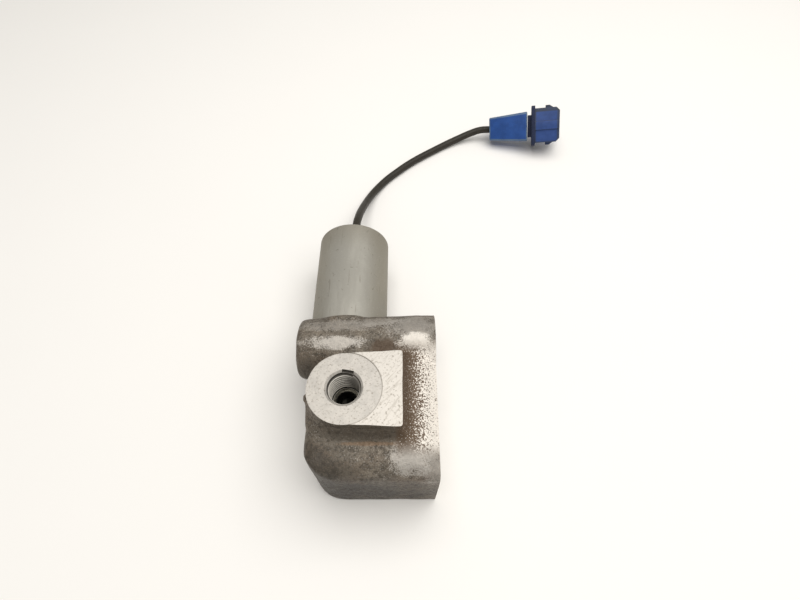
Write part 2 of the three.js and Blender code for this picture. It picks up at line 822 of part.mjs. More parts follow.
// ---- Assembly -------------------------------------------------------------------------------------

function part(name, geometry, [colour, roughness, metalness]) {
  const material = new THREE.MeshStandardMaterial({ color: colour, roughness, metalness });
  const mesh = new THREE.Mesh(geometry, material);
  mesh.name = name;
  return mesh;
}

function sleeveRing(y) {
  return ring(sleeveRingRadius, ringSection, y).translate(0, 0, axisHeight);
}

const c = colours;
const valve = new THREE.Group();
valve.add(
  part('body_casting', geometryOf(bodyCasting()), c.castAluminium),
  part('port_seat_ring', portSeatRing(), c.steel),
  part('valve_sleeve', geometryOf(valveSleeve()), c.steel),
  part('spool', spool(), c.steel),
  part('return_spring', returnSpring(), c.steel),
  part('spring_seat', springSeat(), c.steel),
  part('sleeve_o_ring_front', sleeveRing(-ringPitch), c.blackRubber),
  part('sleeve_o_ring_rear', sleeveRing(ringPitch), c.blackRubber),
  part('solenoid_can', solenoidCan(), c.zincPlate),
  part('pole_piece', polePiece(), c.steel),
  part('spigot_o_ring', spigotRing(), c.blackRubber),
  part('guide_tube', guideTube(), c.brass),
  part('plunger', plunger(), c.steel),
  part('plunger_shim', plungerShim(), c.brass),
  part('push_pin', pushPin(), c.steel),
  part('coil_bobbin', coilBobbin(), c.blackPlastic),
  part('coil_winding', coilWinding(), c.copper),
  part('rear_yoke', rearYoke(), c.steel),
  part('end_cap', endCap(), c.blackPlastic),
  part('cable_grommet', cableGrommet(), c.blackRubber),
  part('strainer_frame', strainerFrame(), c.blackPlastic),
  part('strainer_gauze', strainerGauze(), c.steel),
  part('supply_face_seal', faceSeal(supplySealRadius, crossBack, crossHeight), c.blackRubber),
  part('return_face_seal', faceSeal(returnSealRadius, -windowPitch, axisHeight), c.blackRubber),
  part('cable', cable(), c.blackRubber),
);
plug.add(
  part('cable_boot', cableBoot(), c.blueRubber),
  part('connector_housing', connectorHousing(), c.bluePlastic),
  part('contact_carrier', contactCarrier(), c.navyPlastic),
  part('terminal_a', terminal(-1), c.brass),
  part('terminal_b', terminal(1), c.brass),
);
valve.add(plug);

export default valve;
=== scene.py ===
"""A solenoid directional valve with its free lead and connector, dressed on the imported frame.

Lengths inside the makers are millimetres in the frame's own axes: +Y runs from the port towards the solenoid,
+X towards the mounting face and +Z up. A finished mesh is brought to metres when its object is made.
"""
import json
import math

import bmesh
import bpy
from mathutils import Euler, Matrix, Vector, noise
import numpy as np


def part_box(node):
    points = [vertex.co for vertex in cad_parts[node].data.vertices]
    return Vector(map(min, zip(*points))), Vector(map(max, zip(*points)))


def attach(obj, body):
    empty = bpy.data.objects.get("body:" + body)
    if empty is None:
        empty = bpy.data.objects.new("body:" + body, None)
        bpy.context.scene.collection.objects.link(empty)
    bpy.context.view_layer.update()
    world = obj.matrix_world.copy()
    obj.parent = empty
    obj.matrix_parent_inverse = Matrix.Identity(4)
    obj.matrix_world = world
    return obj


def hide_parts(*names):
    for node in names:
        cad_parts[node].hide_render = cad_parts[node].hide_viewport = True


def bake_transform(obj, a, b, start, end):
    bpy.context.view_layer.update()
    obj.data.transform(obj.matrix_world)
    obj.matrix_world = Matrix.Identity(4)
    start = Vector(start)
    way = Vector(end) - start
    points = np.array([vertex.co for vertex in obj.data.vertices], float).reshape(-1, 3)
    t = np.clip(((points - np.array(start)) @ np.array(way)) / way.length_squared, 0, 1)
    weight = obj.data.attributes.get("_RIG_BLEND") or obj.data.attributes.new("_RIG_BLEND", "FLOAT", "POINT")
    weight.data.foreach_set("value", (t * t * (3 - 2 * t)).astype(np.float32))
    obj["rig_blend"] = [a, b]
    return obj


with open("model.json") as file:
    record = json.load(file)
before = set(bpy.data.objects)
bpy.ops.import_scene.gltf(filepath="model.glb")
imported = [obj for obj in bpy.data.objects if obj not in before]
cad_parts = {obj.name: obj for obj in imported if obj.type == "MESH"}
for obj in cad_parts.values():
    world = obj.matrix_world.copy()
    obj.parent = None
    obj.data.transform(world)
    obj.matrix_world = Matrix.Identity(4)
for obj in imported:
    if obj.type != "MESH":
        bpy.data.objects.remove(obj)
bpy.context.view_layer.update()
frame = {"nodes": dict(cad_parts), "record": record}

bl_info = {
    "name": "Solenoid directional valve",
    "version": (1, 0, 0),
    "blender": (4, 5, 0),
    "location": "View3D > Sidebar > Valve",
    "description": "Builds the visible surfaces of a cast solenoid valve with its lead and connector",
    "category": "Object",
}

MM = 0.001
HOLDER = "valve_body"
FULL_TURN = 2 * math.pi


# ---- Sizes and colours that a user would change -----------------------------------------------------

def linear(code):
    """An sRGB hex colour as linear red, green and blue."""
    channels = [int(code[i:i + 2], 16) / 255 for i in (1, 3, 5)]
    return tuple(c / 12.92 if c <= 0.04045 else ((c + 0.055) / 1.055) ** 2.4 for c in channels)


def size(name, description, millimetres):
    """A length that the panel shows."""
    return bpy.props.FloatProperty(name=name, description=description, default=millimetres * MM, unit="LENGTH",
                                   precision=5)


def colour(name, description, code):
    """A colour that the panel shows."""
    return bpy.props.FloatVectorProperty(name=name, description=description, default=linear(code), size=3,
                                         subtype="COLOR", min=0, max=1)


class ValveCasting(bpy.types.PropertyGroup):
    """Sizes of the cast body."""
    axis_height: size("Axis height", "Height of the valve axis over the underside", 19)
    block_height: size("Block height", "Underside to the top of the plain block", 36.5)
    pad_top: size("Pad top", "Underside to the machined top of the port pad", 45)
    spot_depth: size("Spot face depth", "How deep the round spot face is cut into the pad", 0.25)
    port_offset: size("Port offset", "Valve axis to port axis", 2.5)
    pad_radius: size("Pad radius", "Radius of the pad's round end", 12.9)
    port_mouth: size("Port mouth", "Radius of the port's chamfer at the pad", 6.7)
    thread_radius: size("Thread radius", "Major radius of the port's thread", 6)
    tap_radius: size("Tapping radius", "Minor radius of the port's thread", 5.35)
    thread_pitch: size("Thread pitch", "Distance from one turn of the thread to the next", 1.5)
    thread_depth: size("Thread depth", "Pad top to the ledge at the bottom of the thread", 13.8)
    mount_reach: size("Mounting face", "Valve axis to the mounting face", 35.3)
    cross_radius: size("Cross boss radius", "Radius of the round boss at its free end", 12)
    voxel: size("Casting detail", "Grid size at which the rough casting is blended", 0.55)


class ValveSolenoid(bpy.types.PropertyGroup):
    """Sizes of the solenoid."""
    can_radius: size("Can radius", "Outer radius of the steel can", 16)
    can_front: size("Can front", "Port plane to the can's front end", 34.1)
    can_length: size("Can length", "Length of the steel can", 49.2)
    can_wall: size("Can wall", "Thickness of the can's sheet", 1.4)
    can_lip: size("Can lip", "Width of the lip rolled over the end cap", 3.2)
    tail_length: size("Grommet tail", "How far the grommet stands out of the end cap", 11)


class ValveLead(bpy.types.PropertyGroup):
    """Sizes of the free lead."""
    diameter: size("Lead diameter", "Outside diameter of the sheathed lead", 4)


class ValveColours(bpy.types.PropertyGroup):
    """Colours of the finishes."""
    cast: colour("Cast aluminium", "Weathered rough casting", "#766D60")
    # Also painted shade on the casting's front, in its crevice, on the pad's front wall and in the port
    cast_grime_and_shade: colour("Casting grime", "Oil and dust held in the rough casting", "#3B352D")
    cast_stain: colour("Casting stain", "Brown stain in the valleys of the casting", "#5C4A38")
    # Also painted highlights on the casting's top and along its right edge
    cast_worn_and_highlight: colour("Worn casting", "Skin of the casting where it is rubbed bright", "#D2CCC3")
    milled: colour("Milled aluminium", "Fresh milled faces of the casting", "#BDB8B0")
    bored: colour("Bored aluminium", "Bores and threads of the casting", "#D6D1C7")
    zinc: colour("Zinc plate", "Plating on the can", "#A19E95")
    # Also painted shade on the can's flanks and towards its far end
    zinc_stain_and_shade: colour("Plating stain", "Brown film on the can's plating", "#7F7868")
    steel: colour("Steel", "Turned and ground steel", "#9A9995")
    nitrided: colour("Nitrided steel", "Hardened valve parts", "#34332F")
    seat: colour("Seat steel", "The seat ring's ground steel, under oil", "#B5B2A8")
    brass: colour("Brass", "Brass strip", "#B59A5A")
    copper: colour("Copper", "Enamelled copper wire", "#A8603A")
    nitrile: colour("Nitrile rubber", "Seals, O-rings and grommet", "#2A2825")
    sheath: colour("Lead sheath", "Outer sheath of the lead", "#2C2820")
    boot: colour("Boot", "Blue rubber boot", "#22498A")
    boot_worn: colour("Worn boot", "Blue rubber where it is rubbed grey", "#5E7387")
    # Also darker bands on the housing, one of them painted shade
    housing: colour("Connector housing", "Blue nylon of the housing", "#2E4880")
    housing_grime_and_shade: colour("Housing grime", "Grime on the edges of the housing", "#35393A")
    navy: colour("Contact carrier", "Dark blue nylon", "#1C2540")
    black: colour("Black nylon", "End cap, bobbin and strainer", "#2B2A29")
    floor: colour("Floor", "Pale matt floor", "#F4F2EE")


def values(group):
    """A property group's lengths in millimetres, by name."""
    return {key: getattr(group, key) / MM for key in group.__annotations__}


# ---- Shapes -----------------------------------------------------------------------------------------

def prism(points, along):
    """A closed solid: a flat outline pushed along a vector."""
    bm = bmesh.new()
    face = bm.faces.new([bm.verts.new(p) for p in points])
    grown = bmesh.ops.extrude_face_region(bm, geom=[face], use_keep_orig=True)
    moved = [v for v in grown["geom"] if isinstance(v, bmesh.types.BMVert)]
    bmesh.ops.translate(bm, verts=moved, vec=along)
    bmesh.ops.recalc_face_normals(bm, faces=bm.faces)
    return bm


def spun(outline, sides=96):
    """A closed solid of revolution about Y from points (radius, place along Y)."""
    bm = bmesh.new()
    verts = [bm.verts.new((radius, along, 0)) for radius, along in outline]
    edges = [bm.edges.new(pair) for pair in zip(verts, verts[1:])]
    if outline[0][0] > 0 or outline[-1][0] > 0:
        edges.append(bm.edges.new((verts[-1], verts[0])))
    bmesh.ops.spin(bm, geom=verts + edges, cent=(0, 0, 0), axis=(0, 1, 0), dvec=(0, 0, 0),
                   angle=FULL_TURN, steps=sides, use_merge=True)
    bmesh.ops.remove_doubles(bm, verts=bm.verts, dist=1e-4)
    bmesh.ops.dissolve_degenerate(bm, edges=bm.edges, dist=1e-5)
    bmesh.ops.recalc_face_normals(bm, faces=bm.faces)
    return bm


def block(low, high):
    """A box between two corners."""
    bm = bmesh.new()
    bmesh.ops.create_cube(bm, size=1)
    low, high = Vector(low), Vector(high)
    bmesh.ops.scale(bm, verts=bm.verts, vec=high - low)
    bmesh.ops.translate(bm, verts=bm.verts, vec=(high + low) / 2)
    return bm


def arc(centre, radii, start, end, steps=10):
    """Points of an elliptical arc, its angles in degrees."""
    turns = [math.radians(start + (end - start) * i / steps) for i in range(steps + 1)]
    return [(centre[0] + radii[0] * math.cos(t), centre[1] + radii[1] * math.sin(t)) for t in turns]


def wound(outline, about, rise, turns, steps):
    """A closed solid wound up from a flat outline, by its rise over a turn that has so many steps."""
    bm = bmesh.new()
    end = bm.faces.new([bm.verts.new(point) for point in outline])
    made = round(turns * steps)
    bmesh.ops.spin(bm, geom=[end], cent=(0, 0, 0), axis=about, dvec=Vector(about) * rise / steps,
                   angle=made / steps * FULL_TURN, steps=made, use_merge=False)
    return bm


def closed_up(bm):
    """Merges what lies in one place, and turns the faces outwards."""
    bmesh.ops.remove_doubles(bm, verts=bm.verts, dist=1e-4)
    bmesh.ops.recalc_face_normals(bm, faces=bm.faces)
    return bm


def placed(bm, matrix):
    """A shape put where a matrix says."""
    bmesh.ops.transform(bm, matrix=matrix, verts=bm.verts)
    return bm


def turned_to(axis, at=(0, 0, 0)):
    """Turns what was made about Y to run along X or Z, and moves it."""
    turn = {"X": Matrix.Rotation(-math.pi / 2, 4, "Z"), "Y": Matrix.Identity(4),
            "Z": Matrix.Rotation(math.pi / 2, 4, "X")}[axis]
    return Matrix.Translation(at) @ turn


def bevelled(bm, width, segments=2, least=30):
    """Rounds the edges that turn by more than an angle in degrees, and marks what is rounded as worn."""
    wear = bm.faces.layers.float.new("wear")
    sharp = [e for e in bm.edges if len(e.link_faces) == 2 and e.calc_face_angle(0) > math.radians(least)]
    made = bmesh.ops.bevel(bm, geom=sharp, offset=width, offset_type="OFFSET", segments=segments, profile=0.5,
                           affect="EDGES", clamp_overlap=True, material=-1)
    for face in made["faces"]:
        face[wear] = 1
    return bm


def together(*parts):
    """Several shapes in one, the parts given up."""
    whole = bmesh.new()
    for part in parts:
        mesh = bpy.data.meshes.new("part")
        part.to_mesh(mesh)
        part.free()
        whole.from_mesh(mesh)
        bpy.data.meshes.remove(mesh)
    return whole


def scratch(name, bm):
    """A shape as an object for a modifier, the shape given up."""
    mesh = bpy.data.meshes.new(name)
    bm.to_mesh(mesh)
    bm.free()
    made = bpy.data.objects.new(name, mesh)
    bpy.context.scene.collection.objects.link(made)
    return made


def modified(bm, kind, tool=None, **settings):
    """A shape after one modifier, with the tool shape given up."""
    whole = scratch("whole", bm)
    modifier = whole.modifiers.new("shape", kind)
    for key, value in settings.items():
        setattr(modifier, key, value)
    helper = scratch("tool", tool) if tool else None
    if helper:
        modifier.object = helper
    shaped = whole.evaluated_get(bpy.context.evaluated_depsgraph_get())
    result = bmesh.new()
    result.from_mesh(shaped.to_mesh())
    shaped.to_mesh_clear()
    for leftover in filter(None, (whole, helper)):
        mesh = leftover.data
        bpy.data.objects.remove(leftover)
        bpy.data.meshes.remove(mesh)
    return result


def combined(bm, tool, operation):
    """What is left of two shapes, both given up."""
    return modified(bm, "BOOLEAN", tool, operation=operation, solver="EXACT")


def planed(bm, point, normal, index):
    """Mills a closed shape flat at a plane, and gives the new face a material."""
    geometry = [*bm.verts, *bm.edges, *bm.faces]
    cut = bmesh.ops.bisect_plane(bm, geom=geometry, dist=1e-5, plane_co=point, plane_no=normal,
                                 clear_outer=True)["geom_cut"]
    rim = [e for e in cut if isinstance(e, bmesh.types.BMEdge) and e.is_boundary]
    for face in bmesh.ops.triangle_fill(bm, edges=rim, use_beauty=True, use_dissolve=False)["geom"]:
        if isinstance(face, bmesh.types.BMFace):
            face.material_index = index
            if face.normal.dot(Vector(normal)) < 0:
                face.normal_flip()
    return bm


def tagged(bm, index, chosen=lambda centre: True):
    """Gives faces a material, those whose middle is chosen."""
    for face in bm.faces:
        if chosen(face.calc_center_median()):
            face.material_index = index
    return bm


def piece(name, bm, skins, body=HOLDER, stands_for=(), sharp=35):
    """Makes the finished object in metres at the origin, and puts it on its body, if it has one of its own."""
    bmesh.ops.scale(bm, verts=bm.verts, vec=(MM, MM, MM))
    mesh = bpy.data.meshes.new(name)
    bm.to_mesh(mesh)
    bm.free()
    for finish in skins:
        mesh.materials.append(finishes(bpy.context)[finish])
    mesh.shade_smooth()
    mesh.set_sharp_from_angle(angle=math.radians(sharp))
    made = bpy.data.objects.new(name, mesh)
    bpy.context.scene.collection.objects.link(made)
    if body:
        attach(made, body)
    if stands_for:
        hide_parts(*stands_for)
    return made


def copy_of(name):
    """A CAD node's shape in millimetres, welded and with its flat faces whole again."""
    bm = bmesh.new()
    bm.from_mesh(frame["nodes"][name].data)
    bmesh.ops.remove_doubles(bm, verts=bm.verts, dist=1e-6)
    bmesh.ops.scale(bm, verts=bm.verts, vec=(1 / MM, 1 / MM, 1 / MM))
    bmesh.ops.dissolve_limit(bm, angle_limit=math.radians(2), verts=bm.verts, edges=bm.edges)
    return bm


# The connector's own frame: its X runs from the boot to the mouth, and its flange ends at a place along it
PLUG = Matrix.LocRotScale(Vector((100.3, 180.9, 12.6)),
                          Euler([math.radians(a) for a in (52.5, -11.3, -7.8)], "XYZ"), None)
FLANGE = 2.05
# Axis, from and to in millimetres, and how strong
# Darker bands on the housing: the one past 7.6 mm along Y is painted shade where a side turned from the light would
# show; the others darken its other long edge, its mouth end and its flange
HOUSING_DARK_BANDS = [("Y", 7.6, 30, 0.85), ("Y", -30, -8.8, 0.6), ("X", 14.4, 30, 0.75), ("X", 0, 2.6, 0.7)]


# ---- Materials --------------------------------------------------------------------------------------

SMOOTH = {"interpolation_type": "SMOOTHSTEP"}
IN_COLOUR = {"data_type": "RGBA"}
WAVES = 10 / math.pi    # how often a wave texture repeats in one unit, at a scale of 1
FLAT = 1e4              # what divides an axis out of a pattern
DUST = linear("#C4C1BC")


def per(millimetres):
    """A texture's scale from the size in millimetres of what it draws, for coordinates in metres."""
    return 1 / (millimetres * MM)


def join(tree, socket, value):
    """Gives a socket a link or a value, or leaves it as it is."""
    if isinstance(value, bpy.types.NodeSocket):
        tree.links.new(value, socket)
    elif value is not None:
        socket.default_value = value


def add(tree, kind, *values, out=None, **settings):
    """Adds a node with its settings, fills the sockets that it shows in their order, and gives an output: the named
    one or else the first."""
    node = tree.nodes.new("ShaderNode" + kind)
    for key, value in settings.items():
        setattr(node, key, value)
    for socket, value in zip([s for s in node.inputs if s.enabled], values):
        join(tree, socket, value)
    shown = [s for s in node.outputs if s.enabled and out in (None, s.name)]
    return shown[0] if shown else None


def new_material(name):
    """An empty material with its shader: its tree, the shader and the object's coordinates."""
    made = bpy.data.materials.new(name)
    made.use_nodes = True
    tree = made.node_tree
    tree.nodes.clear()
    shaded = add(tree, "BsdfPrincipled")
    add(tree, "OutputMaterial", shaded)
    return tree, shaded.node, add(tree, "TexCoord", out="Object")


def tone(rgb, factor=1):
    """A colour made darker or lighter, with its alpha."""
    return (*[min(1, c * factor) for c in rgb], 1)


def layered(tree, base, *layers):
    """Lays tones over a colour, each where a pattern runs from one value to another, up to its strength."""
    for pattern, low, high, strength, rgb, factor in layers:
        amount = add(tree, "MapRange", pattern, low, high, 0, strength, **SMOOTH)
        base = add(tree, "Mix", amount, base, tone(rgb, factor), **IN_COLOUR)
    return base


def patch(tree, place, centre, reach):
    """1 at a place in millimetres, falling to 0 over its reach along each axis."""
    moved = add(tree, "Mapping", place, Vector(centre) * MM, None, Vector(reach) * MM, vector_type="TEXTURE")
    return add(tree, "TexGradient", moved, out="Fac", gradient_type="SPHERICAL")


def slab(tree, value, low, high, soft):
    """1 between two places in millimetres along an axis, falling softly to 0 beyond them."""
    rise, fall = (add(tree, "MapRange", value, (at - run) * MM, (at + run) * MM, **SMOOTH)
                  for at, run in ((low, soft), (high, -soft)))
    return add(tree, "Math", rise, fall, operation="MULTIPLY")


def surface(tree, shader, base, roughness, layers=(), metallic=0, specular=0.5):
    """Joins a colour, a roughness and bumps to the shader. The bumps lie on top of each other, each a height, the depth
    in millimetres that it stands for, and a strength."""
    normal = None
    for height, depth, strength in layers:
        normal = add(tree, "Bump", strength, depth * MM, None, height, normal)
    for name, value in (("Base Color", base), ("Roughness", roughness), ("Normal", normal), ("Metallic", metallic),
                        ("Specular IOR Level", specular)):
        join(tree, shader.inputs[name], value)


def sand_cast_aluminium(colours):
    """Aluminium cast in sand, never painted: a matt, grainy skin, grey-brown with old oil in its hollows."""
    tree, shader, place = new_material("sand_cast_aluminium")
    grain, sand, cloud, flecks = (
        add(tree, "TexNoise", place, per(drawn), detail, roughness)
        for drawn, detail, roughness in ((0.5, 3, 0.7), (1.2, 3, 0.6), (6, 4, 0.6), (0.55, 3, 0.7)))
    drift = add(tree, "TexNoise", place, per(17), 3, 0.5, None, 0.6)
    base = layered(tree, tone(colours.cast, 0.7), (cloud, 0.35, 0.68, 1, colours.cast, 1.15),
                   (drift, 0.42, 0.72, 0.5, colours.cast_stain, 1.05), (sand, 0.52, 0.36, 0.6, colours.cast_grime_and_shade, 1),
                   (grain, 0.54, 0.7, 0.5, colours.cast_worn_and_highlight, 0.8), (grain, 0.46, 0.34, 0.5, colours.cast_grime_and_shade, 1))
    # Broken up by the grain, so that the marks have no outline of their own
    uneven = add(tree, "Math", add(tree, "MapRange", cloud, 0.3, 0.7, -0.22, 0.22, **SMOOTH),
                 add(tree, "MapRange", grain, 0.35, 0.65, -0.16, 0.16, **SMOOTH), operation="ADD")
    # Stains, rubbed skin, painted shade and painted highlights, each laid where its place lies
    for centre, reach, strength, shade, factor in CAST_STAINS_AND_PAINTED_LIGHT:
        near = patch(tree, place, centre, reach)
        edge = add(tree, "MapRange", near, 0, 0.2, **SMOOTH)
        mark = add(tree, "Math", uneven, edge, near, operation="MULTIPLY_ADD")
        base = layered(tree, base, (mark, 0.1, 0.55, strength, getattr(colours, shade), factor))
    # The top between the pad and the mounting face: a brown stain that breaks into bright specks, which grow into a
    # solid painted highlight along its right edge
    axes = add(tree, "SeparateXYZ", place).node.outputs
    valley = add(tree, "Math", slab(tree, axes["X"], *VALLEY["X"], 1.2), slab(tree, axes["Y"], *VALLEY["Y"], 3.5),
                 operation="MULTIPLY")
    raised = add(tree, "MapRange", axes["Z"], *(z * MM for z in VALLEY["Z"]), **SMOOTH)
    valley = add(tree, "Math", valley, raised, operation="MULTIPLY")
    stain = add(tree, "Math", valley, 0.9, operation="MULTIPLY")
    base = add(tree, "Mix", stain, base, tone(colours.cast_stain, 1.02), **IN_COLOUR)
    # Painted highlight: bright specks that thicken into a solid bright edge towards the mounting face
    shift = add(tree, "MapRange", axes["X"], *(x * MM for x in VALLEY["specks"]), -0.13, 0.13, **SMOOTH)
    specks = add(tree, "MapRange", add(tree, "Math", flecks, shift, operation="ADD"), 0.49, 0.56, **SMOOTH)
    specks = add(tree, "Math", specks, valley, operation="MULTIPLY")
    base = add(tree, "Mix", specks, base, tone(colours.cast_worn_and_highlight, 1.25), **IN_COLOUR)
    roughness = add(tree, "MapRange", sand, 0.3, 0.7, 0.62, 0.44, **SMOOTH)
    surface(tree, shader, base, roughness, [(cloud, 0.5, 0.4), (sand, 0.3, 0.9), (grain, 0.2, 0.9)], metallic=0.35)


# Stained and rubbed places of the casting, with painted shade and painted highlights among them: centre and reach in
# millimetres, how strong, and in which colour
CAST_STAINS_AND_PAINTED_LIGHT = [
    # Painted shade: the front left, the front face, the crevice between the bosses and the pad's front wall
    ((-8, -25, 20), (22, 15, 30), 0.85, "cast_grime_and_shade", 0.95),
    ((8, -31, 14), (40, 8, 26), 0.95, "cast_grime_and_shade", 0.85),
    ((-14, 11, 26), (8, 12, 12), 0.55, "cast_grime_and_shade", 1.2),
    ((6, -15.3, 41), (26, 3.2, 7), 0.6, "cast_grime_and_shade", 1.7),
    # Brown stains behind the pad, at the back right and along the skirt's edge
    ((15.5, 20, 36.8), (9, 4, 6), 0.9, "cast_stain", 0.75),
    ((32, 33.5, 33), (7, 6, 7), 0.6, "cast_stain", 0.9),
    ((14, -16.9, 36.7), (17, 0.9, 2.4), 0.65, "cast_stain", 1.9),
    # Painted highlights: the top right, the bright spot behind the pad's right end and the cross boss
    ((27, 28, 37), (16, 9, 9), 0.5, "cast_worn_and_highlight", 0.7),
    ((27, 21.5, 37.5), (9, 4.5, 7), 0.95, "cast_worn_and_highlight", 1.15),
    ((-3, 21.6, 36.5), (17, 3.4, 6), 0.7, "cast_worn_and_highlight", 0.95),
    # Lighter patches behind the cross boss
    ((0, 29, 35), (24, 4, 8), 0.35, "cast_worn_and_highlight", 0.75),
    ((14, 31, 36), (14, 4, 6), 0.35, "cast_worn_and_highlight", 0.8),
    # Rubbed skin with a painted highlight at the front right, and a painted highlight on the edge beside it
    ((25.5, -21.5, 36.2), (10, 8, 7), 0.75, "cast_worn_and_highlight", 0.72),
    ((33, -24, 32), (6, 7, 12), 0.5, "cast_worn_and_highlight", 0.7),
]
# The stained valley's reach along each axis, and where its bright specks grow from none to a solid painted highlight
# along X, in millimetres
VALLEY = {"X": (20.5, 50), "Y": (-19, 20), "Z": (30, 34), "specks": (22.5, 35)}


def from_port(tree, place, port):
    """The pattern coordinate centred on the port's axis, and the distance from that axis."""
    about = add(tree, "Mapping", place, (port * MM, 0, 0), None, (1, 1, FLAT), vector_type="TEXTURE")
    return about, add(tree, "VectorMath", about, operation="LENGTH")


def tapped_aluminium(colours, port, crest, ledge):
    """Cast aluminium bored and tapped: rubbed bright on the crests of the thread, with painted shade in its roots, on
    one side of the thread and everywhere below it."""
    tree, shader, place = new_material("tapped_aluminium")
    radius = from_port(tree, place, port)[1]
    height = add(tree, "SeparateXYZ", place, out="Z")
    cloud = add(tree, "TexNoise", place, per(3), 3, 0.55)
    # Painted shade on one side of the thread
    shaded_side = patch(tree, place, (port + 5.5, 3, ledge + 6), (7.5, 8, 12))
    base = add(tree, "Mix", cloud, tone(colours.bored, 0.85), tone(colours.bored, 1.3), **IN_COLOUR)
    # Painted shade in the thread's roots, on one side and, nearly black, below the ledge
    base = layered(tree, base, (radius, (crest + 0.1) * MM, (crest + 0.4) * MM, 0.93, colours.cast_grime_and_shade, 0.7),
                   (shaded_side, 0, 0.5, 0.7, colours.cast_grime_and_shade, 1.1),
                   (height, (ledge + 1) * MM, (ledge + 0.4) * MM, 1, colours.cast_grime_and_shade, 0.12))
    surface(tree, shader, base, add(tree, "MapRange", cloud, 0.3, 0.7, 0.26, 0.36, **SMOOTH), metallic=0.35)


def milled_aluminium(colours, port, spot_radius):
    """Cast aluminium milled and left bare: pale, with round tool marks in the spot face, straight ones beyond it, a
    darker line where the spot face steps down, and dull specks. The tool marks are drawn coarser than they are."""
    tree, shader, place = new_material("milled_aluminium")
    about, radius = from_port(tree, place, port)
    rings = add(tree, "TexWave", about, per(0.99) / WAVES, 0.8, out="Fac", wave_type="RINGS", rings_direction="Z")
    turned = add(tree, "Mapping", place, None, (0, 0, math.radians(50)), (7, 1, 1), vector_type="TEXTURE")
    strokes, cloud, specks = (
        add(tree, "TexNoise", along, per(drawn), detail, roughness)
        for along, drawn, detail, roughness in ((turned, 0.8, 3, 0.6), (place, 4, 4, 0.7), (place, 0.8, 3, 0.7)))
    beyond = add(tree, "MapRange", radius, (spot_radius - 0.2) * MM, (spot_radius + 0.2) * MM, **SMOOTH)
    base = layered(tree, tone(colours.milled, 0.84), (cloud, 0.32, 0.68, 1, colours.milled, 1.12),
                   (radius, (spot_radius - 0.2) * MM, (spot_radius + 0.2) * MM, 0.6, colours.milled, 1.34))
    streaks = add(tree, "MapRange", strokes, 0.52, 0.68, 0, 0.3, **SMOOTH)
    streaks = add(tree, "Math", streaks, beyond, operation="MULTIPLY")
    base = add(tree, "Mix", streaks, base, tone(colours.cast, 1.25), **IN_COLOUR)
    base = layered(tree, base, (specks, 0.54, 0.68, 0.7, colours.cast, 1.1))
    step = add(tree, "Math", slab(tree, radius, spot_radius - 0.1, spot_radius + 0.2, 0.2), 0.6, operation="MULTIPLY")
    base = add(tree, "Mix", step, base, tone(colours.cast, 0.8), **IN_COLOUR)
    roughness = add(tree, "MapRange", cloud, 0.3, 0.7, 0.42, 0.56, **SMOOTH)
    surface(tree, shader, base, roughness, [(rings, 0.02, 0.35), (strokes, 0.02, 0.3), (specks, 0.04, 0.4)],
            metallic=0.35)


def zinc_plated_steel(colours):
    """Deep-drawn steel, zinc plated: a dull satin grey with painted shade on its flanks and towards its far end, brown
    stain marks and a few scratches.
    """
    tree, shader, place = new_material("zinc_plated_steel")
    drawn_out = add(tree, "Mapping", place, None, None, (1, 0.35, 1))
    cloud = add(tree, "TexNoise", drawn_out, per(8), 4, 0.6, None, 0.4)
    grain = add(tree, "TexNoise", place, per(0.6), 3, 0.6)
    marks = add(tree, "TexNoise", place, per(2.4), 2, 0.4, None, 1.2)
    scratched = add(tree, "Mapping", place, None, (0, 0, 0.35), (1, 0.08, 1))
    hair = add(tree, "TexNoise", scratched, per(0.9), 2, 0.5)
    base = layered(tree, tone(colours.zinc, 0.9), (cloud, 0.35, 0.7, 1, colours.zinc, 1.05))
    axes = add(tree, "SeparateXYZ", place).node.outputs
    # Painted shade: the can's flanks darkened, broken up by the cloud
    shaded_flank = add(tree, "MapRange", add(tree, "Math", axes["X"], operation="ABSOLUTE"), 5 * MM, 15.5 * MM, 0, 0.75,
                **SMOOTH)
    film = add(tree, "Math", shaded_flank, add(tree, "MapRange", cloud, 0.25, 0.6, 0.5, 1, **SMOOTH), operation="MULTIPLY")
    base = add(tree, "Mix", film, base, tone(colours.zinc_stain_and_shade), **IN_COLOUR)
    # Painted shade towards the can's far end, then brown stain marks, scratches and lighter grain
    base = layered(tree, base, (axes["Y"], 66 * MM, 84 * MM, 0.45, colours.zinc_stain_and_shade, 1),
                   (marks, 0.68, 0.74, 0.5, colours.zinc_stain_and_shade, 0.6), (hair, 0.66, 0.74, 0.35, colours.zinc_stain_and_shade, 0.7),
                   (grain, 0.55, 0.7, 0.2, colours.zinc, 1.3))
    roughness = add(tree, "MapRange", cloud, 0.3, 0.7, 0.62, 0.5, **SMOOTH)
    surface(tree, shader, base, roughness, [(cloud, 0.05, 0.25), (grain, 0.03, 0.35)], metallic=0.3, specular=0.35)


def turned_metal(name, rgb, roughness=0.3):
    """Turned metal: fine rings from the tool, drawn coarser than they are, and small changes of tone."""
    tree, shader, place = new_material(name)
    fine = add(tree, "TexWave", place, per(0.69) / WAVES, 0.4, out="Fac", wave_type="BANDS", bands_direction="Y")
    cloud = add(tree, "TexNoise", place, per(3), 3, 0.55)
    base = add(tree, "Mix", cloud, tone(rgb, 0.85), tone(rgb, 1.1), **IN_COLOUR)
    roughness = add(tree, "MapRange", cloud, 0.3, 0.7, roughness - 0.06, roughness + 0.08, **SMOOTH)
    surface(tree, shader, base, roughness, [(fine, 0.01, 0.3)], metallic=1)


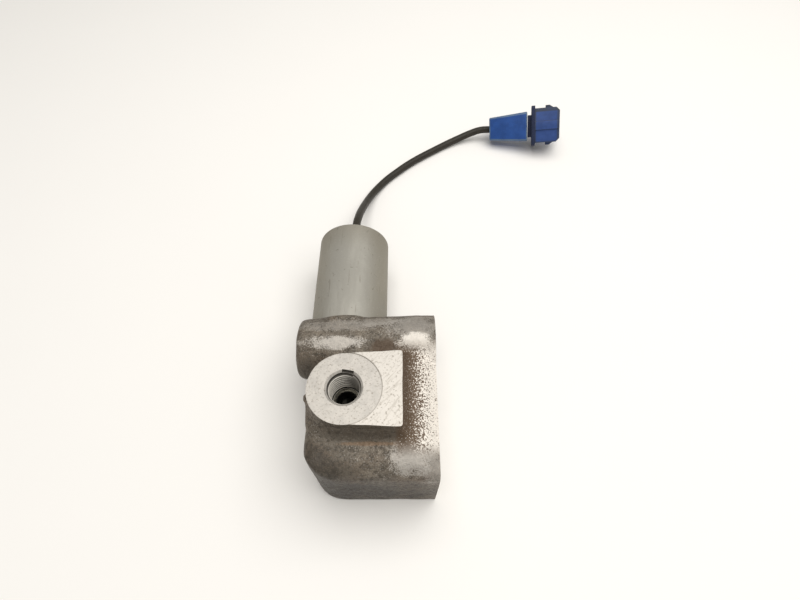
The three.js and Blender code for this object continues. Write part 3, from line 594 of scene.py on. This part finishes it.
def wound_copper(colours):
    """Enamelled copper wire wound in even turns: glossy brown-orange with a line for each turn, drawn coarser than the
    wire is."""
    tree, shader, place = new_material("enamelled_copper_wire")
    turns = add(tree, "TexWave", place, per(0.99) / WAVES, out="Fac", wave_type="BANDS", bands_direction="Y")
    base = add(tree, "Mix", turns, tone(colours.copper, 0.6), tone(colours.copper, 1.1), **IN_COLOUR)
    surface(tree, shader, base, 0.35, [(turns, 0.15, 0.8)], metallic=0.8)


def moulded(name, rgb, roughness=0.55, texture_mm=0.35, depth=0.02, dust=0.1, worn=None, grime=()):
    """A moulded surface: fine spark-eroded texture, small changes of tone, some dust, wear on its edges, and darker
    bands between places in millimetres along the connector's own axes."""
    tree, shader, place = new_material(name)
    fine = add(tree, "TexNoise", place, per(texture_mm), 3, 0.6)
    cloud = add(tree, "TexNoise", place, per(5), 3, 0.6)
    base = layered(tree, tone(rgb, 0.85), (cloud, 0.3, 0.7, 1, rgb, 1.12), (fine, 0.55, 0.75, dust, DUST, 1))
    if worn is not None:
        rub = add(tree, "Math", add(tree, "Attribute", out="Fac", attribute_name="wear"),
                  add(tree, "MapRange", cloud, 0.25, 0.6, 0.35, 0.9, **SMOOTH), operation="MULTIPLY")
        base = add(tree, "Mix", rub, base, tone(worn), **IN_COLOUR)
    if grime:
        own = add(tree, "Mapping", place, PLUG.to_translation() * MM, PLUG.to_euler(), vector_type="TEXTURE")
        axes = add(tree, "SeparateXYZ", own).node.outputs
    # Darker bands, painted shade among them
    for axis, low, high, strength in grime:
        darkened_band = add(tree, "Math", slab(tree, axes[axis], low, high, 0.35),
                   add(tree, "MapRange", cloud, 0.25, 0.65, strength * 0.7, strength, **SMOOTH), operation="MULTIPLY")
        base = add(tree, "Mix", darkened_band, base, tone(worn), **IN_COLOUR)
    roughness = add(tree, "MapRange", cloud, 0.3, 0.7, roughness - 0.05, roughness + 0.07, **SMOOTH)
    surface(tree, shader, base, roughness, [(fine, depth, 0.5)], specular=0.3)


def woven_gauze(colours):
    """Woven steel wire, drawn coarser than it is so that the mesh can be seen."""
    tree, shader, place = new_material("woven_steel_gauze")
    wires = add(tree, "TexBrick", place, None, None, None, per(0.5), 0.12, None, None, 1, 1, out="Fac", offset=0)
    base = add(tree, "Mix", wires, tone(colours.nitrile), tone(colours.steel, 0.95), **IN_COLOUR)
    surface(tree, shader, base, 0.4, [(wires, 0.1, 0.6)], metallic=0.8)


def finishes(context):
    """Every material by its name, made once."""
    colours = context.scene.valve_colours
    if "sand_cast_aluminium" not in bpy.data.materials:
        casting = context.scene.valve_casting
        sand_cast_aluminium(colours)
        milled_aluminium(colours, casting.port_offset / MM, SPOT_RADIUS)
        tapped_aluminium(colours, casting.port_offset / MM, casting.tap_radius / MM,
                         (casting.pad_top - casting.thread_depth) / MM)
        turned_metal("bored_aluminium", colours.bored, 0.3)
        zinc_plated_steel(colours)
        turned_metal("turned_steel", colours.steel)
        turned_metal("nitrided_steel", colours.nitrided, 0.4)
        turned_metal("ground_seat_steel", colours.seat, 0.32)
        turned_metal("drawn_brass", colours.brass, 0.28)
        wound_copper(colours)
        moulded("moulded_nitrile_rubber", colours.nitrile, 0.6, 0.3, 0.02, 0.18)
        moulded("extruded_lead_sheath", colours.sheath, 0.5, 0.4, 0.02, 0.1)
        moulded("moulded_black_nylon", colours.black, 0.5)
        moulded("moulded_navy_nylon", colours.navy, 0.5)
        moulded("moulded_blue_nylon", colours.housing, 0.45, 0.4, 0.015, 0.03, colours.housing_grime_and_shade, HOUSING_DARK_BANDS)
        moulded("moulded_blue_rubber", colours.boot, 0.5, 0.5, 0.015, 0.03, colours.boot_worn)
        woven_gauze(colours)
    return bpy.data.materials


# By the record's slot names, then by the nodes that differ from their slot
SLOT_MATERIALS = {
    "cast_aluminium": "sand_cast_aluminium", "zinc_plate": "zinc_plated_steel", "steel": "turned_steel",
    "brass": "drawn_brass", "copper": "enamelled_copper_wire", "rubber_black": "moulded_nitrile_rubber",
    "cable_sheath": "extruded_lead_sheath", "plastic_black": "moulded_black_nylon",
    "plastic_navy": "moulded_navy_nylon", "plastic_blue": "moulded_blue_nylon", "rubber_blue": "moulded_blue_rubber",
}
NODE_MATERIALS = {"strainer_gauze": "woven_steel_gauze", "valve_sleeve": "nitrided_steel", "spool": "nitrided_steel"}


# ---- The stage --------------------------------------------------------------------------------------

class VALVE_OT_stage(bpy.types.Operator):
    """Add the camera, a pale floor and soft studio light"""
    bl_idname = "valve.stage"
    bl_label = "Stage"

    def execute(self, context):
        scene = context.scene
        camera = bpy.data.objects.new("camera", bpy.data.cameras.new("camera"))
        camera.data.sensor_width = 36
        camera.data.lens = 21.825
        camera.data.shift_x = -0.00125
        camera.data.clip_start, camera.data.clip_end = 0.01, 20
        camera.location = Vector((22.1, -65.2, 200)) * MM
        camera.rotation_euler = (math.radians(33), 0, 0)
        scene.collection.objects.link(camera)
        scene.camera = camera

        bm = bmesh.new()
        bmesh.ops.create_grid(bm, x_segments=1, y_segments=1, size=FLOOR_REACH)
        mesh = bpy.data.meshes.new("floor")
        bm.to_mesh(mesh)
        bm.free()
        tree, shader, place = new_material("matt_white_board")
        cloud = add(tree, "TexNoise", place, per(60), 3, 0.55)
        rgb = scene.valve_colours.floor
        surface(tree, shader, add(tree, "Mix", cloud, tone(rgb, 0.985), tone(rgb), **IN_COLOUR), 0.8, specular=0.2)
        mesh.materials.append(bpy.data.materials["matt_white_board"])
        floor = bpy.data.objects.new("floor", mesh)
        scene.collection.objects.link(floor)

        for name, place, aim, side, power in LIGHTS:
            lamp = bpy.data.lights.new(name, "AREA")
            lamp.shape, lamp.size = "SQUARE", side
            lamp.energy = power
            lamp.color = linear(STUDIO_WHITE)
            holder = bpy.data.objects.new(name, lamp)
            holder.location = place
            holder.rotation_euler = (Vector(aim) - Vector(place)).to_track_quat("-Z", "Y").to_euler()
            scene.collection.objects.link(holder)
        world = bpy.data.worlds.new("studio")
        world.use_nodes = True
        background = world.node_tree.nodes["Background"]
        background.inputs["Color"].default_value = tone(linear(STUDIO_WHITE))
        background.inputs["Strength"].default_value = WORLD_STRENGTH
        scene.world = world
        scene.view_settings.view_transform = "Standard"
        return {"FINISHED"}


# Name, place, what it points at, its side in metres, and watts
LIGHTS = [("key", (0.2, 0.08, 0.8), (0.04, 0.06, 0), 0.9, 7.2)]
STUDIO_WHITE = "#FFFDFA"
WORLD_STRENGTH = 0.42
FLOOR_REACH = 8


# ---- The lead ---------------------------------------------------------------------------------------

# Its route in millimetres: straight out of the grommet, down to the floor, round to the boot and up into it
LEAD_ROUTE = [
    (0, 93, 19), (0.1, 98, 18.4), (0.5, 103, 17), (1.1, 109, 14.5), (2, 115.4, 11.4), (3, 121.5, 8.4),
    (4.6, 128.2, 5.6), (7, 135.2, 3.4), (10.2, 141.2, 2.3), (13.7, 146.2, 2.05), (20.5, 153.6, 2.05),
    (27.8, 160.7, 2.05), (35, 166.6, 2.05), (42.4, 172.1, 2.05), (50.1, 177.4, 2.3), (57.6, 181.4, 3.3),
    (64.8, 183.9, 5.1), (70.57, 184.97, 6.6), (76.11, 184.21, 7.72),
]


class VALVE_OT_lead(bpy.types.Operator):
    """Lay the free lead from the grommet to the boot"""
    bl_idname = "valve.lead"
    bl_label = "Lead"

    def execute(self, context):
        diameter = context.scene.valve_lead.diameter
        curve = bpy.data.curves.new("lead", "CURVE")
        curve.dimensions = "3D"
        curve.bevel_depth = diameter / 2
        curve.bevel_resolution = 5
        curve.resolution_u = 10
        curve.use_fill_caps = True
        spline = curve.splines.new("BEZIER")
        spline.bezier_points.add(len(LEAD_ROUTE) - 1)
        for point, place in zip(spline.bezier_points, LEAD_ROUTE):
            point.co = Vector(place) * MM
            point.handle_left_type = point.handle_right_type = "AUTO"
        curve.materials.append(finishes(context)["extruded_lead_sheath"])
        lead = bpy.data.objects.new("lead", curve)
        context.scene.collection.objects.link(lead)
        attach(lead, HOLDER)
        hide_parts("cable")
        return {"FINISHED"}


# ---- The casting ------------------------------------------------------------------------------------

# Places and radii in millimetres that the frame fixes
FRONT, BACK, SIDE = -27.6, 30, -11.2
PAD_REACH, PAD_NEAR, PAD_FAR, PAD_FOOT = 20, -13.4, 14, 24
CROSS_Y, CROSS_Z, CROSS_END, CROSS_DRAFT = 24.8, 25, -18.2, 1.7
BORE, BORE_FRONT, SPRING_HOLE, SPRING_END = 7.2, -14, 4.9, -23
SPIGOT_BORE, SPIGOT_FRONT = 9.2, 28
CAN_SEAT, SEAT_REACH, SEAT_BACK, SEAT_BOSS = 16.3, 33.8, 34.4, 17.4
SPOT_RADIUS, DROP_HOLE = 13.2, 3.9
SUPPLY_RADIUS, SUPPLY_HOLE, SUPPLY_DEPTH, SUPPLY_SEAL = 6.2, 3, 15.3, 8.35
GALLERY_Y, GALLERY_RADIUS, RETURN_SEAL = -10.2, 3.2, 5.35
SEAL_CORD, GROOVE_HALF, GROOVE_DEPTH, SEAL_PROUD = 0.95, 1.25, 1.6, 0.4
SCREW_HOLE, SCREW_DEPTH, SCREW_CHAMFER = 2.6, 12, 0.6
SCREWS = ((-21.2, 30.1), (-21.2, 6.4), (10, 6.4))
ALLOWANCE = 1.2     # metal left on for milling
BEYOND = 60         # past everything


def plan(s, height):
    """The block's outline from above, with its rounded front corner."""
    corner = arc((SIDE + 12, FRONT + 11), (12, 11), 180, 270, 14)
    reach = s["mount_reach"] + ALLOWANCE
    return [(reach, FRONT, height), (reach, BACK, height), (SIDE, BACK, height),
            *[(x, y, height) for x, y in corner]]


def pad_outline(s, grow, height):
    """The port pad's outline, round about the port and square at its other end."""
    port, radius = s["port_offset"], s["pad_radius"] + grow
    round_end = arc((port, 0), (radius, radius), 90, 270, 28)
    return [(port + PAD_REACH + grow, PAD_NEAR - grow, height), (port + PAD_REACH + grow, PAD_FAR + grow, height),
            *[(x, y, height) for x, y in round_end]]


def rough_casting(s):
    """The casting as it leaves the sand: all its forms blended into each other, with metal left on for milling."""
    top, port = s["block_height"], s["port_offset"]
    side_profile = [(SIDE - 1, y, z) for y, z in
                    [(BACK, 0), (BACK, top), *arc((FRONT + 7, top - 7), (7, 7), 90, 180, 10), (FRONT, 0)]]
    front_profile = [(x, FRONT - 1, z) for x, z in
                     [(38, 0), (38, top - 4), (35.3, top - 3.2), (31, top - 0.8), (26.3, top),
                      *arc((SIDE + 4.5, top - 4.5), (4.5, 4.5), 90, 180, 8), (SIDE, 0)]]
    plain = combined(prism(side_profile, (BEYOND, 0, 0)), prism(front_profile, (0, BEYOND, 0)), "INTERSECT")
    plain = combined(plain, prism(plan(s, -1), (0, 0, BEYOND)), "INTERSECT")
    above_bore = block((SIDE - 2, 0, s["axis_height"] + BORE + 3.4), (port, CROSS_Y, BEYOND))
    plain = combined(plain, above_bore, "DIFFERENCE")
    skirt = bmesh.new()
    loops = []
    for grow, height in ((4.2, 26), (4.2, top - 0.5), (1.6, top + 1.4), (0.3, top + 4.2)):
        verts = [skirt.verts.new(p) for p in pad_outline(s, grow, height)]
        loops.append([skirt.edges.new((a, b)) for a, b in zip(verts, verts[1:] + verts[:1])])
    for low, high in zip(loops, loops[1:]):
        bmesh.ops.bridge_loops(skirt, edges=low + high)
    bmesh.ops.holes_fill(skirt, edges=skirt.edges, sides=0)
    bmesh.ops.recalc_face_normals(skirt, faces=skirt.faces)
    skirt = combined(skirt, prism(plan(s, -1), (0, 0, BEYOND)), "INTERSECT")
    pad = prism(pad_outline(s, 0, PAD_FOOT), (0, 0, s["pad_top"] + ALLOWANCE - PAD_FOOT))
    radius, reach = s["cross_radius"], s["mount_reach"] + ALLOWANCE
    cross = placed(spun([(0, CROSS_END), (9.6, CROSS_END), (11.3, CROSS_END + 0.5), (radius, CROSS_END + 2),
                         (radius + CROSS_DRAFT, reach), (0, reach)], 72), turned_to("X", (0, CROSS_Y, CROSS_Z)))
    seat = placed(spun([(0, SEAT_BACK - 12), (SEAT_BOSS, SEAT_BACK - 12), (SEAT_BOSS, SEAT_BACK), (0, SEAT_BACK)], 72),
                  turned_to("Y", (0, 0, s["axis_height"])))
    # A small stub left on the pad's side
    nub = placed(spun([(0, -1.6), (1.6, -1.6), (1.9, 1.2), (0, 1.2)], 20), turned_to("Z", (port - 12.6, -2.4, 40.2)))
    raw = modified(together(plain, skirt, pad, cross, seat, nub), "REMESH", mode="VOXEL", voxel_size=s["voxel"],
                   adaptivity=0)
    for turn in range(7):
        # The pad keeps its crisp outline
        soft = [v for v in raw.verts if v.co.z < s["block_height"] + 4.5 or turn < 1]
        bmesh.ops.smooth_vert(raw, verts=soft, factor=0.5, use_axis_x=True, use_axis_y=True, use_axis_z=True)
    raw.normal_update()
    for vert in raw.verts:
        uneven = noise.noise(vert.co / 9) * 0.22 + noise.noise(vert.co / 3.1 + Vector((7, 3, 1))) * 0.1
        vert.co += vert.normal * (0.12 + uneven)
    return raw


def milling_tools(s):
    """The shapes that the drills and cutters take out, in two sets that don't cross themselves."""
    axis, port = s["axis_height"], s["port_offset"]
    ledge = s["pad_top"] - s["thread_depth"]
    spot = s["pad_top"] - s["spot_depth"]
    mouth, major, reach = s["port_mouth"], s["thread_radius"], s["mount_reach"]
    valve = placed(spun([
        (0, SPRING_END), (SPRING_HOLE, SPRING_END), (SPRING_HOLE, BORE_FRONT), (BORE, BORE_FRONT), (BORE, SPIGOT_FRONT),
        (SPIGOT_BORE, SPIGOT_FRONT), (SPIGOT_BORE, SEAT_REACH), (CAN_SEAT, SEAT_REACH), (CAN_SEAT, SEAT_BACK - 0.4),
        (CAN_SEAT + 0.9, SEAT_BACK + 0.4), (CAN_SEAT + 0.9, BEYOND), (0, BEYOND)]), turned_to("Y", (0, 0, axis)))
    tagged(valve, 1)
    tagged(valve, 2, lambda centre: centre.y < SEAT_REACH - 1)
    bore = placed(spun([
        (0, axis), (DROP_HOLE, axis), (DROP_HOLE, ledge), (major, ledge), (major, spot - (mouth - major)),
        (mouth, spot), (SPOT_RADIUS, spot), (SPOT_RADIUS, spot + 4), (0, spot + 4)]), turned_to("Z", (port, 0, 0)))
    tagged(bore, 1)
    tagged(bore, 3, lambda centre: centre.z < spot - (mouth - major))
    # Where the tap broke through the chamfer
    broken = placed(block((-2.1, 5.2, spot - 1.3), (2.1, 6.6, spot + 0.5)),
                    Matrix.Translation((port, 0, 0)) @ Matrix.Rotation(math.radians(-10), 4, "Z"))
    out = reach + 3
    supply = placed(spun([(0, 0), (SUPPLY_HOLE, 0), (SUPPLY_HOLE, SUPPLY_DEPTH), (SUPPLY_RADIUS, SUPPLY_DEPTH),
                          (SUPPLY_RADIUS, out), (0, out)], 64), turned_to("X", (0, CROSS_Y, CROSS_Z)))
    gallery = placed(spun([(0, 0), (GALLERY_RADIUS, 0), (GALLERY_RADIUS, out), (0, out)], 48),
                     turned_to("X", (0, GALLERY_Y, axis)))
    floor, wide = reach - GROOVE_DEPTH, SCREW_HOLE + SCREW_CHAMFER
    grooves = [placed(spun([(radius - GROOVE_HALF, floor), (radius + GROOVE_HALF, floor), (radius + GROOVE_HALF, out),
                            (radius - GROOVE_HALF, out)], 72), turned_to("X", (0, y, z)))
               for radius, y, z in ((SUPPLY_SEAL, CROSS_Y, CROSS_Z), (RETURN_SEAL, GALLERY_Y, axis))]
    holes = [placed(spun([(0, reach - SCREW_DEPTH), (SCREW_HOLE, reach - SCREW_DEPTH),
                          (SCREW_HOLE, reach - SCREW_CHAMFER), (wide, reach), (wide, out), (0, out)], 40),
                    turned_to("X", (0, y, z))) for y, z in SCREWS]
    return (together(valve, tagged(broken, 3)),
            together(bore, tagged(supply, 2), tagged(gallery, 2), *(tagged(tool, 1) for tool in (*grooves, *holes))))


class VALVE_OT_casting(bpy.types.Operator):
    """Cast the body, mill its faces and bore it"""
    bl_idname = "valve.casting"
    bl_label = "Casting"

    def execute(self, context):
        s = values(context.scene.valve_casting)
        body = rough_casting(s)
        planed(body, (0, 0, s["pad_top"]), (0, 0, 1), 1)
        planed(body, (s["mount_reach"], 0, 0), (1, 0, 0), 1)
        planed(body, (0, 0, 0), (0, 0, -1), 0)
        for tool in milling_tools(s):
            body = combined(body, tool, "DIFFERENCE")
        # In the order of the numbers that the faces are tagged with
        skins = ("sand_cast_aluminium", "milled_aluminium", "bored_aluminium", "tapped_aluminium")
        piece("casting", body, skins, stands_for=("body_casting",), sharp=38)
        return {"FINISHED"}


class VALVE_OT_port(bpy.types.Operator):
    """Cut the port's thread and press in its seat ring"""
    bl_idname = "valve.port"
    bl_label = "Port"

    def execute(self, context):
        s = values(context.scene.valve_casting)
        ledge = s["pad_top"] - s["thread_depth"]
        pitch, root, crest = s["thread_pitch"], s["thread_radius"] + 0.05, s["tap_radius"]
        start = ledge + 0.7
        mouth, spot = s["port_mouth"], s["pad_top"] - s["spot_depth"]
        turns = (spot - (mouth - root) - start) / pitch - 0.97
        tooth = [(root, 0), (crest, pitch * 0.3), (crest, pitch * 0.52), (root, pitch * 0.86)]
        bm = wound([(x, 0, start + z) for x, z in tooth], (0, 0, 1), pitch, turns, 48)
        # The chamfer cuts the first turns down
        for v in bm.verts:
            least = min(root, mouth - (spot - v.co.z))
            reach = v.co.xy.length
            if reach < least:
                v.co.xy *= least / reach
        placed(closed_up(bm), Matrix.Translation((s["port_offset"], 0, 0)))
        piece("port_thread", bm, ["tapped_aluminium"])
        low, high = ledge + 0.1, ledge + 1.2
        ring = spun([(4, low), (5.2, low), (5.2, high - 0.15), (5.05, high), (4.8, high), (4.1, high - 0.75),
                     (4, high - 0.95)])
        placed(ring, turned_to("Z", (s["port_offset"], 0, 0)))
        piece("seat_ring", ring, ["ground_seat_steel"], stands_for=("port_seat_ring",))
        return {"FINISHED"}


class VALVE_OT_seals(bpy.types.Operator):
    """Lay the two face seals in their grooves"""
    bl_idname = "valve.seals"
    bl_label = "Face seals"

    def execute(self, context):
        s = values(context.scene.valve_casting)
        middle = s["mount_reach"] + SEAL_PROUD - SEAL_CORD
        for name, node, radius, y, z in (("supply_seal", "supply_face_seal", SUPPLY_SEAL, CROSS_Y, CROSS_Z),
                                         ("return_seal", "return_face_seal", RETURN_SEAL, GALLERY_Y, s["axis_height"])):
            cord = arc((radius, middle), (SEAL_CORD, SEAL_CORD), 0, 345, 23)
            ring = placed(spun(cord), turned_to("X", (0, y, z)))
            piece(name, ring, ["moulded_nitrile_rubber"], stands_for=(node,), sharp=180)
        return {"FINISHED"}


# ---- The solenoid -----------------------------------------------------------------------------------

ROLLED = 1.1    # radius of the can's rolled edge
RIBS = 5        # on the grommet's tail


class VALVE_OT_solenoid(bpy.types.Operator):
    """Draw the can, and close it with its end cap and grommet"""
    bl_idname = "valve.solenoid"
    bl_label = "Solenoid"

    def execute(self, context):
        s = values(context.scene.valve_solenoid)
        axis = context.scene.valve_casting.axis_height / MM
        front, back = s["can_front"], s["can_front"] + s["can_length"]
        outer, inner = s["can_radius"], s["can_radius"] - s["can_wall"]
        rolled = arc((outer - ROLLED, back - ROLLED), (ROLLED, ROLLED), 0, 90, 6)
        lip = outer - s["can_lip"]
        can = spun([(inner, front), (outer - 0.25, front), (outer, front + 0.25), *rolled, (lip + 0.3, back),
                    (lip, back - 0.3), (lip, back - s["can_wall"]), (inner, back - s["can_wall"])], 144)
        at = turned_to("Y", (0, 0, axis))
        piece("can", placed(can, at), ["zinc_plated_steel"], stands_for=("solenoid_can",))
        low, high = (corner.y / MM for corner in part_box("end_cap"))
        cap = spun([(4.1, low), (14.4, low), (14.5, low + 0.2), (14.5, high - 0.2), (14.3, high), (6.4, high),
                    (6.2, high - 0.4), (5.7, high - 0.4), (5.5, high), (4.1, high)], 120)
        piece("cap", placed(cap, at), ["moulded_black_nylon"], stands_for=("end_cap",))
        rest = high + 0.1
        end = rest + s["tail_length"]
        outline = [(0, low), (4, low), (4, rest), (5.1, rest), (5.4, rest + 0.3), (5.4, rest + 1.5), (4.9, rest + 2)]
        ribbed = rest + 2.2
        step = (end - ribbed) / RIBS
        for i in range(RIBS):
            y = ribbed + i * step
            radius = 4 - 1.05 * (i + 1) / RIBS
            outline += [(radius - 0.45, y), (radius - 0.45, y + step * 0.35), (radius - 0.1, y + step * 0.4),
                        (radius, y + step * 0.55), (radius - 0.02, y + step * 0.9), (radius - 0.2, y + step)]
        outline += [(2.2, end), (2.15, end - 1.6), (0, end - 1.6)]
        piece("grommet", placed(spun(outline, 72), at), ["moulded_nitrile_rubber"],
              stands_for=("cable_grommet",))
        return {"FINISHED"}


# ---- The connector ----------------------------------------------------------------------------------

def worn_on_edges(bm):
    """Marks as worn what faces askew to the connector's own axes or along its length."""
    wear = bm.faces.layers.float["wear"]
    turn = PLUG.to_3x3().inverted()
    for face in bm.faces:
        facing = [abs(a) for a in turn @ face.normal]
        face[wear] = max(face[wear], float(min(facing[1], facing[2]) > 0.25 or facing[0] > 0.7))
    return bm


class VALVE_OT_connector(bpy.types.Operator):
    """Mould the boot, the housing and its contacts"""
    bl_idname = "valve.connector"
    bl_label = "Connector"

    def execute(self, context):
        boot = worn_on_edges(bevelled(copy_of("cable_boot"), 0.7, 3, 18))
        piece("boot", boot, ["moulded_blue_rubber"], stands_for=("cable_boot",))
        housing = worn_on_edges(bevelled(copy_of("connector_housing"), 0.5, 3, 25))
        # The housing is darker at its flange end, where it takes the navy finish
        tagged(housing, 1, lambda centre: (PLUG.inverted() @ centre).x < FLANGE)
        piece("housing", housing, ["moulded_blue_nylon", "moulded_navy_nylon"],
              stands_for=("connector_housing",))
        carrier = bevelled(copy_of("contact_carrier"), 0.25, 2, 25)
        piece("carrier", carrier, ["moulded_navy_nylon"], stands_for=("contact_carrier",))
        for name in ("terminal_a", "terminal_b"):
            blade = bevelled(copy_of(name), 0.12, 2, 25)
            piece(name.replace("terminal", "blade"), blade, ["drawn_brass"], stands_for=(name,))
        return {"FINISHED"}


class VALVE_OT_return_spring(bpy.types.Operator):
    """Wind the return spring, which shortens as the spool comes forward"""
    bl_idname = "valve.return_spring"
    bl_label = "Return spring"

    def execute(self, context):
        wire, coil, turns, steps = 0.4, 3.1, 4.5, 32
        seat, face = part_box("spring_seat")[1].y / MM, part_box("spool")[0].y / MM
        first, last = seat + wire + 0.1, face - wire - 0.1
        outline = [(x, y, 0) for x, y in arc((coil, first), (wire, wire), 0, 330, 11)]
        bm = closed_up(wound(outline, (0, 1, 0), (last - first) / turns, turns, steps))
        axis = context.scene.valve_casting.axis_height / MM
        spring = piece("spring", placed(bm, turned_to("Y", (0, 0, axis))), ["turned_steel"],
                       body=None, stands_for=("return_spring",))
        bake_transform(spring, HOLDER, "spool", start=Vector((0, seat, axis)) * MM, end=Vector((0, face, axis)) * MM)
        return {"FINISHED"}


class VALVE_OT_inner_pieces(bpy.types.Operator):
    """Give the pieces inside the casting and the can their finishes"""
    bl_idname = "valve.inner_pieces"
    bl_label = "Inner pieces"

    def execute(self, context):
        materials = finishes(context)
        for entry in frame["record"]["subparts"]:
            node = frame["nodes"][entry["node"]]
            name = NODE_MATERIALS.get(entry["node"], SLOT_MATERIALS[entry["material_slot"]])
            node.data.materials.clear()
            node.data.materials.append(materials[name])
        return {"FINISHED"}


class VALVE_PT_panel(bpy.types.Panel):
    """Lists the valve's sizes, colours and makers"""
    bl_label = "Solenoid valve"
    bl_idname = "VALVE_PT_panel"
    bl_space_type = "VIEW_3D"
    bl_region_type = "UI"
    bl_category = "Valve"

    def draw(self, context):
        for group in GROUPS:
            box = self.layout.box()
            settings = getattr(context.scene, group)
            for key in settings.__annotations__:
                box.prop(settings, key)
        for operator in OPERATORS:
            self.layout.operator(operator.bl_idname)


GROUPS = {"valve_casting": ValveCasting, "valve_solenoid": ValveSolenoid, "valve_lead": ValveLead,
          "valve_colours": ValveColours}
OPERATORS = [VALVE_OT_stage, VALVE_OT_lead, VALVE_OT_casting, VALVE_OT_port, VALVE_OT_seals, VALVE_OT_solenoid,
             VALVE_OT_connector, VALVE_OT_return_spring, VALVE_OT_inner_pieces]
CLASSES = [*GROUPS.values(), *OPERATORS, VALVE_PT_panel]


def register():
    for made in CLASSES:
        bpy.utils.register_class(made)
    for name, group in GROUPS.items():
        setattr(bpy.types.Scene, name, bpy.props.PointerProperty(type=group))


def unregister():
    for name in GROUPS:
        delattr(bpy.types.Scene, name)
    for made in reversed(CLASSES):
        bpy.utils.unregister_class(made)


def main():
    register()
    for operator in OPERATORS:
        group, name = operator.bl_idname.split(".")
        getattr(getattr(bpy.ops, group), name)()


if __name__ == "__main__":
    main()
